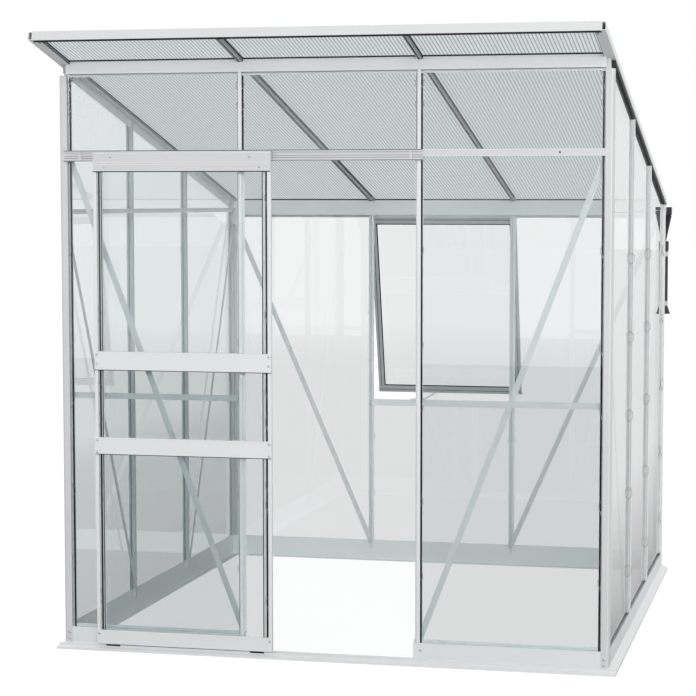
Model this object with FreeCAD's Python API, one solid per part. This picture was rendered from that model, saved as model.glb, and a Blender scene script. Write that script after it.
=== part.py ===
import FreeCAD, Part
import math
import os

# Lean-to greenhouse: three bays wide and three deep, a single-pitch roof falling
# to the back, a sliding door in front and a top-hung vent in the back wall.
# X runs along the front wall, Y from front to back, Z up. Millimetres.
V = FreeCAD.Vector

# Overall sizes
bay_width = 745.0          # from one front or back bar to the next
front_bays = 3
bay_depth = 785.0          # from one side bar to the next
side_bays = 3
roof_height = 2443.0       # underside of the roof at the front glass
roof_fall = 0.235          # drop of the roof for each millimetre backwards
canopy_reach = 343.0       # roof in front of the front glass
eaves_reach = 62.0         # roof behind the back glass

# Glazing
glass_gap = 2.0            # thickness of the rubber under the glass
glass_thickness = 3.0
glass_play = 4.0           # from a bar's middle to the edge of the glass
pane_gap = 2.0             # from a cross bar's web to the edge of the glass
seal_width = 7.0
sheet_thickness = 10.0
sheet_skin = 0.8
flute_pitch = 14.0
sheet_play = 3.0           # from a roof bar's web to the sheet

# Extrusions: depths are measured outwards from the inner face of the glazing
wall = 2.0                 # metal thickness of every section
face_depth = 18.0          # outer face of bars, corners and rails
nose_half = 7.5
nose_depth = 4.0
nose_round = 1.5
web_half = 1.25
flange_half = 15.0
channel_half = 7.0
channel_depth = 14.0
slot_half = 3.3
corner_step = 16.0         # from a side wall's glazing plane to the front wall's first seal
corner_round = 12.0
leg_depth = 3.0            # outer leg of the rails that hold the glass

# Base
foot_reach = 45.0
foot_edge = 10.0
tread_top = 6.0            # underside of the doorway's hollow tread
foot_top = 30.0
foot_inner = 35.0
sill_top = 93.0
sill_floor = 80.0
upstand_top = 105.0
post_foot = 60.0           # lower end of the bars' bolt channels, behind the upstand
rib_inset = 4.0            # guide rib on the front foot, outwards from the door's back face
rib_width = 2.0
rib_top = 26.0
doorway_inset = 21.0       # from the right jamb's middle to the right front base

# Front wall
top_plate_drop = 36.0      # lower edge of the front top rail under the roof
top_leg_drop = 48.0
top_web_inner = 30.0
closer_height = 11.0       # upstand of the top rail between the roof bars
closer_depth = 6.0
transom_bottom = 2062.0
transom_height = 30.0
front_mid_height = 1072.0
mid_bar_height = 25.0
cover_drop = 41.0          # corner covers end this far under the roof

# Side walls
side_rail_drop = 53.0      # lower edge of the side rails under the roof at the back
side_rail_height = 21.0
side_rail_shelf = 16.0
side_leg_drop = 38.0
edge_seal_drop = 20.0

# Back wall, the drops measured under the roof at the back glass
eave_drop = 69.0
eave_inner = 10.0
eave_leg_drop = 82.0
vent_sill_bottom = 818.0
vent_sill_top = 853.0
vent_sill_fall = 4.0
vent_sill_step = 10.0      # hollow part of the sill above the lower glass
gutter_drop = 60.0
gutter_back = 46.0         # height of the gutter's rear wall
gutter_front = 28.0
gutter_width = 52.0
gutter_round = 28.0
bead_radius = 3.0

# Roof bars, measured up from the underside of the roof
roof_bar_height = 33.0
roof_seat = 18.0           # where the sheets lie
roof_web_half = 1.5
edge_lap = 1.0             # roof's side bars beyond the side walls' outer face
edge_inner = 15.0
edge_box = 17.0
edge_lip = 3.0
edge_round = 6.0
fascia_lip = 24.0
fascia_height = 35.0

# Braces and gussets
brace_width = 25.0
brace_thickness = 2.0
brace_clip = 7.0           # corners cut off at both ends
brace_end = 3.0            # from the first seal to the middle of a brace's upper end
brace_foot = 100.0
front_brace_drop = 7.0     # upper end under the transom
side_brace_drop = 178.0    # front end, under the roof at the back glass
back_brace_drop = 82.0
brace_spacing = 12.916     # between the braces that meet at a back corner
gusset_leg = 62.0
gusset_tip = 14.0
gusset_rise = 10.0

# Sliding door, as it stands half open in front of the left bay
door_left = 121.0
door_lap = 17.0            # the door is this much wider than a bay
door_bottom = 31.0
door_head_gap = 4.0        # from the top of the door to the top of the track
door_clearance = 2.0       # from the track to the door's back face
door_thickness = 16.0
stile_tube = 15.0
stile_width = 38.0
door_head_height = 85.0
door_middle_rail = (1183.0, 1262.0)
door_lower_rail = (831.0, 903.0)
door_foot_top = 90.0
track_drop = 14.0          # track's lower edge under the transom
track_left = -13.0
track_beyond = 17.0
track_depth = 10.0
track_lip = 8.0
wheel_radius = 12.0
wheel_width = 5.0
wheel_inset = 60.0
small_gap = 0.3            # between neighbouring curved or sliding faces
loose_gap = 0.5            # between faces that only pass each other
axle_radius = 3.0
axle_fit = 0.05
shoe_length = 60.0
closed_lap = 8.0           # the closed door reaches this far over the left jamb
open_margin = 16.0         # the open door stops this far from the corner
stop_length = 12.0

# Vent, hung from the eave rail and propped open
vent_lap = 13.0            # overlap on the bars at each side
vent_drop = 70.0           # hinge axis under the roof at the back glass
vent_axis_out = 6.0        # hinge axis beyond the bars' outer face
vent_foot_lap = 11.0       # the closed vent reaches this far below the sill's top
vent_angle = 13.4
vent_rail = 35.0
vent_side = 30.0
vent_tube = 14.0
vent_thickness = 14.0
vent_back = 5.0            # the frame's inner face, inwards from the hinge axis
vent_neck = 9.0
neck_half = 1.25
hinge_radius = 3.0
hinge_gap = 0.3
hinge_wall = 2.3
stay_width = 12.0
stay_thickness = 3.0
stay_overlap = 37.0        # arm beyond the gap of the propped vent
stay_skew = 50.0
stay_hook = 56.0
stay_height = 18.0         # pivot above the vent's lower edge
stay_side = 330.0          # pivot from the middle bay's left bar
pin_radius = 3.0
pin_fit = 0.05
peg_height = 11.0

# Rainwater fittings at the back right corner
outlet_width = 26.0
outlet_height = 36.0
pipe_radius = 31.5
pipe_wall = 2.5
pipe_offset = 12.0         # pipe's middle beyond the first seal line
pipe_drop = 163.0          # pipe's top under the gutter
pipe_length = 306.0
bend_radius = 20.0
spout_length = 39.0
spout_radius = 45.0
socket_depth = 24.0
clip_height = 24.0
low_clip_rise = 3.0
high_clip_drop = 53.0

# Places that follow from the sizes above
wall_width = front_bays * bay_width
wall_depth = side_bays * bay_depth
back_plane = wall_depth + 2 * corner_step
slope = math.atan(roof_fall)
eave_level = roof_height - roof_fall * back_plane
corner_core = channel_depth
core_edge = corner_step - corner_core
base_face = face_depth - wall
edge_outer = corner_step + face_depth + edge_lap
fascia_inset = edge_outer - edge_box
door_back = face_depth + track_depth + door_clearance
rib_depth = door_back + rib_inset
vent_axis_depth = face_depth + vent_axis_out
base_split = 2 * bay_width - doorway_inset
top_plate_bottom = roof_height - top_plate_drop
top_leg_bottom = roof_height - top_leg_drop
transom_top = transom_bottom + transom_height
side_rail_bottom = eave_level - side_rail_drop
side_rail_top = side_rail_bottom + side_rail_height
eave_bottom = eave_level - eave_drop
eave_leg_bottom = eave_level - eave_leg_drop
gutter_bottom = eave_level - gutter_drop
gutter_top = gutter_bottom + gutter_back
gutter_lip = gutter_bottom + gutter_front
track_bottom = transom_bottom - track_drop
track_top = transom_top
track_right = 2 * bay_width + track_beyond
door_width = bay_width + door_lap
door_top = transom_top - door_head_gap
door_head_rail = (door_top - door_head_height, door_top)
door_rails = (door_head_rail, door_middle_rail, door_lower_rail, (door_bottom, door_foot_top))
slide_closing = bay_width - closed_lap - door_left
slide_opening = door_left - open_margin
vent_width = bay_width + 2 * vent_lap
vent_axis_height = eave_level - vent_drop
vent_length = vent_axis_height - vent_sill_top + vent_foot_lap
stay_reach = vent_length * math.sin(math.radians(vent_angle)) + stay_overlap
outlet_bottom = gutter_bottom - wall
pipe_top = gutter_bottom - pipe_drop
pipe_bottom = pipe_top - pipe_length
big = 4000.0               # larger than anything that is trimmed


# Closed wire through 2D corners; a third number rounds that corner
def wire_of(points, origin, axis_a, axis_b):
    count = len(points)
    corners = [V(p[0], p[1], 0) for p in points]
    marks = []
    for i in range(count):
        radius = points[i][2] if len(points[i]) > 2 else 0.0
        if radius == 0.0:
            marks.append((corners[i], corners[i], corners[i]))
            continue
        before = (corners[i - 1] - corners[i]).normalize()
        after = (corners[(i + 1) % count] - corners[i]).normalize()
        half = before.getAngle(after) / 2
        reach = radius / math.tan(half)
        inward = (before + after).normalize()
        middle = corners[i] + inward * (radius / math.sin(half) - radius)
        marks.append((corners[i] + before * reach, middle, corners[i] + after * reach))

    def spot(p):
        return origin + axis_a * p.x + axis_b * p.y

    edges = []
    for i in range(count):
        enter, middle, leave = marks[i]
        previous = marks[i - 1][2]
        if previous.distanceToPoint(enter) > 1e-6:
            edges.append(Part.makeLine(spot(previous), spot(enter)))
        if enter.distanceToPoint(leave) > 1e-6:
            edges.append(Part.Arc(spot(enter), spot(middle), spot(leave)).toShape())
    return Part.Wire(edges)


# Solid with a constant section, holes included
def prism(outline, origin, axis_a, axis_b, run, holes=()):
    wires = [wire_of(points, origin, axis_a, axis_b) for points in (outline, *holes)]
    return Part.makeFace(wires, "Part::FaceMakerBullseye").extrude(run)


def rectangle(a0, a1, b0, b1):
    return [(a0, b0), (a1, b0), (a1, b1), (a0, b1)]


# Half outline from bottom to top, completed by its mirror image
def both_sides(half):
    return half + [(-p[0], *p[1:]) for p in reversed(half)]


# A wall or roof plane with its own directions: t along it, u outwards
class Plane:
    def __init__(self, origin, along, outward, upward):
        self.origin = origin
        self.along = along
        self.outward = outward
        self.upward = upward

    def spot(self, t, u, z):
        return self.origin + self.along * t + self.outward * u + self.upward * z

    # section in (t, u), running up from z0 to z1
    def upright(self, outline, t, z0, z1, holes=()):
        run = self.upward * (z1 - z0)
        return prism(outline, self.spot(t, 0, z0), self.along, self.outward, run, holes)

    # section in (u, z), running along from t0 to t1
    def rail(self, outline, t0, t1, holes=()):
        run = self.along * (t1 - t0)
        return prism(outline, self.spot(t0, 0, 0), self.outward, self.upward, run, holes)

    # outline in (t, z), running outwards from u0 to u1
    def plate(self, outline, u0, u1, holes=()):
        run = self.outward * (u1 - u0)
        return prism(outline, self.spot(0, u0, 0), self.along, self.upward, run, holes)

    def block(self, t0, t1, u0, u1, z0, z1):
        return self.rail(rectangle(u0, u1, z0, z1), t0, t1)


up = V(0, 0, 1)
front = Plane(V(0, 0, 0), V(1, 0, 0), V(0, -1, 0), up)
back = Plane(V(0, back_plane, 0), V(1, 0, 0), V(0, 1, 0), up)
left = Plane(V(-corner_step, corner_step, 0), V(0, 1, 0), V(-1, 0, 0), up)
right = Plane(V(wall_width + corner_step, corner_step, 0), V(0, 1, 0), V(1, 0, 0), up)
# The roof's own frame: t across, z (here "upward") down the slope, u out of the roof
down_slope = V(0, math.cos(slope), -math.sin(slope))
roof_normal = V(0, math.sin(slope), math.cos(slope))
roof = Plane(V(0, 0, roof_height), V(1, 0, 0), roof_normal, down_slope)
roof_start = -canopy_reach / math.cos(slope)
roof_end = (back_plane + eaves_reach) / math.cos(slope)


# Height of the roof's underside above a place from front to back
def under_roof(y):
    return roof_height - roof_fall * y


# Everything above a plane parallel to the roof, for trimming
def above_roof(level):
    return roof.block(-big, 2 * big, level, level + big, -big, 2 * big)


def mirror_x(shape):
    return shape.mirror(V(wall_width / 2, 0, 0), V(1, 0, 0))


# Glazing bar: bolt channel inside, flange for the glass, web and outer nose
def bar_outline():
    back_lip = channel_depth
    nose_in = face_depth - nose_depth
    return both_sides([
        (slot_half, wall - back_lip), (slot_half, -back_lip), (channel_half, -back_lip),
        (channel_half, -wall), (flange_half, -wall), (flange_half, 0), (web_half, 0),
        (web_half, nose_in), (nose_half, nose_in), (nose_half, face_depth, nose_round),
    ][1:]) + [
        (-slot_half, wall - back_lip), (wall - channel_half, wall - back_lip),
        (wall - channel_half, -wall), (channel_half - wall, -wall),
        (channel_half - wall, wall - back_lip), (slot_half, wall - back_lip),
    ]


# A glazing bar standing in a wall, notched over the base's upstand
def glazing_bar(plane, t, top):
    bar = plane.upright(bar_outline(), t, post_foot, top)
    half = flange_half + wall
    bar = bar.cut(plane.block(t - half, t + half, 0, face_depth + wall, 0, sill_top))
    return bar.cut(plane.block(t - half, t + half, -wall, 0, 0, upstand_top))


# Base rail: hollow sill with glazing channel, sloped foot outside, flat foot inside
def base_outline(ribbed):
    slope_fall = (foot_top - foot_edge) / (foot_reach - base_face)

    def on_slope(u):
        return foot_top - slope_fall * (u - base_face)

    rib_end = rib_depth + rib_width
    rib = [(rib_end, on_slope(rib_end)), (rib_end, rib_top), (rib_depth, rib_top), (rib_depth, on_slope(rib_depth))]
    foot = [(-foot_inner, 0), (foot_reach, 0), (foot_reach, foot_edge)]
    sill = [
        (base_face, foot_top), (base_face, sill_top), (base_face - leg_depth, sill_top),
        (base_face - leg_depth, sill_floor), (0, sill_floor), (0, upstand_top),
        (-wall, upstand_top), (-wall, wall), (-foot_inner, wall),
    ]
    return foot + (rib if ribbed else []) + sill


def base_holes():
    outer = base_face - wall
    return (
        rectangle(0, outer, foot_top, sill_floor - wall),
        [(0, wall), (foot_reach - wall, wall), (foot_reach - wall, foot_edge - wall), (outer, foot_top - wall),
         (0, foot_top - wall)],
    )


# What the sill gives up at a corner so that the rounded cover fits over it
def corner_reliefs():
    reach = face_depth + corner_step
    radius = corner_round - wall
    reliefs = []
    for x, along in ((-reach, 1), (wall_width + reach, -1)):
        for y, inward in ((-face_depth, 1), (back_plane + face_depth, -1)):
            corner = V(x + along * wall, y + inward * wall, foot_top)
            side = rectangle(0, radius, 0, radius)
            height = up * (upstand_top - foot_top)
            square = prism(side, corner, V(along, 0, 0), V(0, inward, 0), height)
            centre = corner + V(along * radius, inward * radius, 0)
            reliefs.append(square.cut(Part.makeCylinder(radius - small_gap, height.Length, centre, up)))
    return reliefs


# Base rail from corner to corner, its ends cut at 45 degrees
def base_rail(plane, length, ribbed=False):
    reach = foot_reach + corner_step
    rail = plane.rail(base_outline(ribbed), -reach, length + reach, base_holes())
    corner = corner_step
    far = foot_reach + foot_inner + corner_step
    first = [(-corner + foot_inner, -foot_inner), (-corner - far, far), (-corner - far, -foot_inner)]
    last = [(length - t, u) for t, u in first]
    ends = [plane.upright(outline, 0, -wall, sill_top + foot_top) for outline in (first, last)]
    return rail.cut(ends + corner_reliefs())


# Low sill across the doorway: the foot, the guide rib and a flat tread
def threshold_outline():
    slope_fall = (foot_top - foot_edge) / (foot_reach - base_face)
    rib_end = rib_depth + rib_width
    drip = base_face - leg_depth
    return [
        (-foot_inner, 0), (foot_reach, 0), (foot_reach, foot_edge),
        (rib_end, foot_top - slope_fall * (rib_end - base_face)), (rib_end, rib_top), (rib_depth, rib_top),
        (rib_depth, foot_top - slope_fall * (rib_depth - base_face)), (base_face, foot_top), (drip, foot_top),
        (drip, tread_top), (leg_depth, tread_top), (leg_depth, foot_edge + wall), (-foot_inner, wall),
    ]


def build_base(parts):
    rail = base_rail(front, wall_width, True)
    middle = back_plane / 2
    doorway = bay_width + channel_half
    parts["base_front_left"] = rail.common(front.block(-big, doorway, -middle, big, -wall, big))
    parts["base_front_right"] = rail.common(front.block(base_split, big, -middle, big, -wall, big))
    parts["door_threshold"] = front.rail(threshold_outline(), doorway, base_split)
    parts["base_back"] = base_rail(back, wall_width)
    parts["base_left"] = base_rail(left, wall_depth)
    parts["base_right"] = base_rail(right, wall_depth)


# Corner post: square hollow core with a glazing flange along each wall
def post_outline():
    inner = face_depth + corner_core
    flange_end = face_depth + corner_step + flange_half
    thick = face_depth + wall
    return [
        (face_depth, face_depth), (flange_end, face_depth), (flange_end, thick), (inner, thick),
        (inner, inner), (thick, inner), (thick, flange_end), (face_depth, flange_end),
    ]


# Rounded outer cover of a corner, with returns that close it against the glass
def cover_outline():
    reach = face_depth + corner_step
    return [
        (0, 0, corner_round), (reach, 0), (reach, face_depth), (reach - wall, face_depth), (reach - wall, wall),
        (wall, wall, corner_round - wall), (wall, reach - wall), (face_depth, reach - wall), (face_depth, reach),
        (0, reach),
    ]


# Lower end of the cover, which laps over the base without the returns
def skirt_outline():
    reach = face_depth + corner_step
    return [
        (0, 0, corner_round), (reach, 0), (reach, wall), (wall, wall, corner_round - wall), (wall, reach),
        (0, reach),
    ]


def cover_top(y):
    return under_roof(y) - cover_drop


def build_corners(parts):
    reach = face_depth + corner_step
    core_low = face_depth + wall
    core_high = face_depth + corner_core - wall
    hole = rectangle(core_low, core_high, core_low, core_high)
    for side, x, along in (("left", -reach, V(1, 0, 0)), ("right", wall_width + reach, V(-1, 0, 0))):
        for end, y, inward in (("front", -face_depth, V(0, 1, 0)), ("back", back_plane + face_depth, V(0, -1, 0))):
            post = prism(post_outline(), V(x, y, upstand_top), along, inward, up * big, [hole])
            post = post.cut(above_roof(0))
            if end == "front":
                trim = front.block(-core_edge, wall_width + core_edge, -wall, 0, top_leg_bottom, big)
            else:
                trim = back.block(-core_edge, wall_width + core_edge, -eave_inner, 0, eave_bottom, big)
            parts["corner_post_%s_%s" % (end, side)] = post.cut(trim)

            top = cover_top(0 if end == "front" else back_plane)
            cover = prism(cover_outline(), V(x, y, sill_top), along, inward, up * (top - sill_top))
            skirt = prism(skirt_outline(), V(x, y, foot_top), along, inward, up * (sill_top - foot_top))
            parts.setdefault("corner_covers_" + end, []).append(cover.fuse(skirt).removeSplitter())


# Strips across each bay between the roof bars, at one place from front to back
def strips_between_bars(y, low, high):
    strips = []
    start = y / math.cos(slope)
    for bay in range(front_bays):
        t0 = edge_inner if bay == 0 else bay * bay_width + flange_half
        t1 = wall_width - edge_inner if bay == front_bays - 1 else (bay + 1) * bay_width - flange_half
        strips.append(roof.block(t0, t1, low, high, start, start + closer_depth))
    return strips


# Rail along the top of the front glass, its web lying under the roof bars
def build_front_top(parts):
    leg_in = face_depth - leg_depth

    def top_at(u):
        return roof_height + roof_fall * u

    outline = [
        (face_depth, top_plate_bottom), (face_depth, top_at(face_depth)),
        (-top_web_inner, top_at(-top_web_inner)), (-top_web_inner, top_at(-top_web_inner) - wall),
        (-wall, top_at(-wall) - wall), (-wall, top_leg_bottom), (0, top_leg_bottom), (0, top_at(0) - wall),
        (leg_in, top_at(leg_in) - wall), (leg_in, top_plate_bottom),
    ]
    plate = front.rail(outline, -core_edge, wall_width + core_edge)
    parts["front_top_plate"] = plate.fuse(strips_between_bars(-face_depth, 0, closer_height)).removeSplitter()


def build_front_bars(parts):
    half = flange_half + wall
    for name, bay in (("door_jamb_left", 1), ("door_jamb_right", 2)):
        t = bay * bay_width
        bar = glazing_bar(front, t, roof_height + foot_top)
        bar = bar.cut(front.block(t - half, t + half, -wall, 0, top_leg_bottom, big))
        bar = bar.cut(front.block(t - half, t + half, face_depth - nose_depth, big, top_plate_bottom, big))
        parts[name] = bar.cut(above_roof(-wall))


# Cross bar between two upright bars: glass stands in a groove above and below it
def transom(plane, t0, t1, z0, z1, first_edge, last_edge):
    middle = (z0 + z1) / 2
    nose_in = face_depth - nose_depth
    inner = [
        (-wall, z0), (0, z0), (0, middle - web_half), (nose_in, middle - web_half),
        (nose_in, middle + web_half), (0, middle + web_half), (0, z1), (-wall, z1),
    ]
    bar = plane.rail(inner, t0 + flange_half, t1 - flange_half)
    outer = rectangle(nose_in, face_depth, z0, z1)
    return bar.fuse(plane.rail(outer, t0 + first_edge, t1 - last_edge)).removeSplitter()


# Flat bar behind the glass and the brace, stepped out to the bars at both ends
def mid_bar(plane, t0, t1):
    low = front_mid_height - mid_bar_height / 2
    high = low + mid_bar_height
    pad = -channel_depth
    face = pad - brace_thickness
    bar = plane.block(t0, t1, face - brace_thickness, face, low, high)
    ends = [plane.block(t0, t0 + channel_depth - wall, face, pad, low, high),
            plane.block(t1 - channel_depth, t1, face, pad, low, high)]
    return bar.fuse(ends).removeSplitter()


def build_front_cross_bars(parts):
    bars = []
    for bay in range(front_bays):
        t0 = bay * bay_width
        first = 0.0 if bay == 0 else nose_half
        last = 0.0 if bay == front_bays - 1 else nose_half
        bars.append(transom(front, t0, t0 + bay_width, transom_bottom, transom_top, first, last))
    first_mid = mid_bar(front, -channel_depth, bay_width + channel_half)
    parts["front_cross_bars"] = bars + [first_mid, mirror_x(first_mid)]


def build_side_bars(parts):
    half = flange_half + wall
    for name, plane in (("left", left), ("right", right)):
        bars = []
        for bay in range(1, side_bays):
            t = bay * bay_depth
            bar = glazing_bar(plane, t, roof_height)
            x0, x1 = sorted((plane.spot(0, 0, 0).x, plane.spot(0, -wall, 0).x))
            bar = bar.cut(roof.block(x0, x1, -side_leg_drop, big, -big, big))
            x0, x1 = sorted((plane.spot(0, glass_gap + glass_thickness, 0).x, plane.spot(0, big, 0).x))
            bar = bar.cut(roof.block(x0, x1, -edge_seal_drop, big, -big, big))
            bars.append(bar.cut(above_roof(-wall)))
        parts["side_bars_" + name] = bars


# Sloping rail under each side of the roof, holding the side glass inside
def build_side_rails(parts):
    flange_end = corner_step + flange_half
    start = flange_end / math.cos(slope)
    end = (back_plane - flange_end) / math.cos(slope)
    x = -corner_step
    angle = [
        (x, 0), (x, -side_leg_drop), (x + wall, -side_leg_drop), (x + wall, -wall),
        (x + flange_half + wall, -wall), (x + flange_half + wall, 0),
    ]
    leg = roof.upright(angle, 0, start, end)
    leg = leg.cut([plane.block(-big, big, -flange_end, big, 0, big) for plane in (front, back)])
    parts["side_top_rail_left"] = leg
    parts["side_top_rail_right"] = mirror_x(leg)
    inner = channel_depth
    shelf = [
        (-inner, side_rail_bottom), (-inner, side_rail_top), (-inner - side_rail_shelf, side_rail_top),
        (-inner - side_rail_shelf, side_rail_top - wall), (-inner - wall, side_rail_top - wall),
        (-inner - wall, side_rail_bottom),
    ]
    for name, plane in (("left", left), ("right", right)):
        parts["side_eave_rail_" + name] = plane.rail(shelf, -core_edge, wall_depth + core_edge)


# Eave rail: hollow inside, a groove for the back glass and an outer leg for the gutter
def build_back_rails(parts):
    leg_in = face_depth - leg_depth

    def top_at(u):
        return under_roof(back_plane + u)

    outline = [
        (-eave_inner, eave_bottom), (0, eave_bottom), (0, top_at(0) - wall), (leg_in, top_at(leg_in) - wall),
        (leg_in, eave_leg_bottom), (face_depth, eave_leg_bottom), (face_depth, top_at(face_depth)),
        (-eave_inner, top_at(-eave_inner)),
    ]
    hole = [
        (wall - eave_inner, eave_bottom + wall), (-wall, eave_bottom + wall), (-wall, top_at(-wall) - wall),
        (wall - eave_inner, top_at(wall - eave_inner) - wall),
    ]
    rail = back.rail(outline, -core_edge, wall_width + core_edge, [hole])
    first = back.block(-core_edge, 0, 0, big, 0, cover_top(back_plane))
    rail = rail.cut([first, mirror_x(first)])
    closers = strips_between_bars(back_plane + face_depth - closer_depth, 0, closer_height)
    parts["back_eave_rail"] = rail.fuse(closers).removeSplitter()
    above_leg = back.block(-big, big, face_depth - nose_depth, big, eave_leg_bottom, big)
    parts["back_bars"] = [
        glazing_bar(back, bay * bay_width, eave_bottom).cut(above_leg) for bay in range(1, front_bays)
    ]
    parts["vent_sill_rail"] = vent_sill(bay_width, 2 * bay_width, leg_in)


# Hollow sill under the vent, bolted over the bars, with two pegs for the stay
def vent_sill(t0, t1, leg_in):
    floor = vent_sill_bottom + vent_sill_step
    outline = [
        (-channel_depth, vent_sill_bottom), (0, vent_sill_bottom), (0, floor), (leg_in, floor),
        (leg_in, vent_sill_bottom), (face_depth, vent_sill_bottom),
        (face_depth, vent_sill_top - vent_sill_fall), (-channel_depth, vent_sill_top),
    ]
    hollow = [
        (wall - channel_depth, floor + wall), (face_depth - wall, floor + wall),
        (face_depth - wall, vent_sill_top - vent_sill_fall - wall), (wall - channel_depth, vent_sill_top - wall),
    ]
    rail = back.rail(outline, t0 + flange_half, t1 - flange_half, [hollow])
    plate = back.block(t0 - channel_half, t1 + channel_half, -channel_depth - wall, -channel_depth,
                       vent_sill_bottom, vent_sill_top)
    pegs = []
    hook_end = t0 + stay_side - stay_skew - stay_hook
    for t in (hook_end - stay_width, t0 + stay_side + stay_width):
        pegs.append(Part.makeCylinder(pin_radius, peg_height, back.spot(t, 0, vent_sill_top - 2 * wall), up))
    return rail.fuse([plate] + pegs).removeSplitter()


# Gutter hung on the eave rail, open on top, with a bead along its front lip
def build_gutter(parts):
    outer = face_depth + gutter_width
    outline = [
        (face_depth, gutter_bottom), (outer, gutter_bottom, gutter_round), (outer, gutter_lip),
        (outer - wall, gutter_lip), (outer - wall, gutter_bottom + wall, gutter_round - wall),
        (face_depth + wall, gutter_bottom + wall), (face_depth + wall, gutter_top), (face_depth, gutter_top),
    ]
    run_start = -edge_outer
    run_end = wall_width + edge_outer
    gutter = back.rail(outline, run_start, run_end)
    bead = Part.makeCylinder(bead_radius, run_end - run_start, back.spot(run_start, outer - wall, gutter_lip),
                             V(1, 0, 0))
    cap = [
        (face_depth, gutter_bottom), (outer, gutter_bottom, gutter_round), (outer, gutter_lip),
        (face_depth, gutter_lip),
    ]
    parts["gutter"] = gutter.fuse([bead, back.rail(cap, run_start, run_start + wall)]).removeSplitter()


# Roof bar between two sheets
def rafter_outline():
    seat = roof_seat
    return both_sides([
        (slot_half, 0), (channel_half, 0), (channel_half, seat - wall), (flange_half, seat - wall),
        (flange_half, seat), (roof_web_half, seat), (roof_web_half, roof_bar_height - wall),
        (nose_half, roof_bar_height - wall), (nose_half, roof_bar_height, nose_round),
    ]) + [
        (-slot_half, wall), (wall - channel_half, wall), (wall - channel_half, seat - wall),
        (channel_half - wall, seat - wall), (channel_half - wall, wall), (slot_half, wall),
    ]


# Side bar of the roof: a closed box outside, a seat and a nose for the sheet inside
def edge_outline():
    box = edge_box - edge_outer
    return [
        (-edge_outer, 0, wall), (nose_half, 0), (nose_half, 2 * wall), (nose_half - wall, 2 * wall),
        (nose_half - wall, wall), (box, wall), (box, roof_seat - wall), (edge_inner, roof_seat - wall),
        (edge_inner, roof_seat), (box, roof_seat), (box, roof_bar_height - wall),
        (-edge_lip, roof_bar_height - wall), (-edge_lip, roof_bar_height),
        (-edge_outer, roof_bar_height, edge_round),
    ]


def edge_hole():
    box = edge_box - edge_outer
    return rectangle(wall - edge_outer, box - wall, wall, roof_bar_height - wall)


def build_roof_bars(parts):
    parts["rafters"] = [roof.upright(rafter_outline(), bay * bay_width, roof_start, roof_end)
                        for bay in range(1, front_bays)]
    edge = roof.upright(edge_outline(), 0, roof_start, roof_end, [edge_hole()])
    parts["roof_edge_bar_left"] = edge
    parts["roof_edge_bar_right"] = mirror_x(edge)
    end = roof_start
    outline = [
        (-wall, end + fascia_lip), (-wall, end - wall), (fascia_height, end - wall),
        (fascia_height, end + fascia_lip), (roof_bar_height, end + fascia_lip), (roof_bar_height, end),
        (0, end), (0, end + fascia_lip),
    ]
    parts["roof_fascia"] = roof.rail(outline, -fascia_inset, wall_width + fascia_inset)


# Twin-wall sheet: two skins joined by upright ribs, the flutes running down the slope
def build_roof_sheets(parts):
    for index, name in enumerate(("left", "middle", "right")):
        t0 = index * bay_width
        t1 = t0 + bay_width
        first = t0 + roof_web_half + sheet_play
        last = t1 - roof_web_half - sheet_play
        if index == 0:
            first = edge_box - edge_outer + sheet_play
        if index == front_bays - 1:
            last = wall_width + edge_outer - edge_box - sheet_play
        count = int((last - first) // flute_pitch)
        margin = (last - first - count * flute_pitch) / 2
        low = roof_seat + sheet_skin
        high = roof_seat + sheet_thickness - sheet_skin
        flutes = []
        for flute in range(count):
            start = first + margin + flute * flute_pitch + sheet_skin / 2
            flutes.append(rectangle(start, start + flute_pitch - sheet_skin, low, high))
        outline = rectangle(first, last, roof_seat, roof_seat + sheet_thickness)
        begin = roof_start + wall
        parts["roof_sheet_" + name] = roof.upright(outline, 0, begin, roof_end, flutes)


# Glass of one bay, cut to any upper edge, one pane between each pair of levels
def panes(plane, t0, t1, levels):
    inner = glass_gap
    outer = glass_gap + glass_thickness
    result = []
    for low, high in levels:
        high_first = high(t0) if callable(high) else high
        high_last = high(t1) if callable(high) else high
        outline = [(t0, low), (t1, low), (t1, high_last), (t0, high_first)]
        result.append(plane.plate(outline, inner, outer))
    return result


# Rubber strips under both upright edges of a pane
def pane_seals(plane, t0, t1, levels):
    result = []
    for low, high in levels:
        for a in (t0 + glass_gap, t1 - glass_gap - seal_width):
            b = a + seal_width
            high_a = high(a) if callable(high) else high
            high_b = high(b) if callable(high) else high
            outline = [(a, low + glass_gap), (b, low + glass_gap), (b, high_b - glass_gap), (a, high_a - glass_gap)]
            result.append(plane.plate(outline, 0, glass_gap))
    return result


# Both upright edges of the glass in one bay
def glass_span(bay, pitch):
    return bay * pitch + glass_play, (bay + 1) * pitch - glass_play


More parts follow.
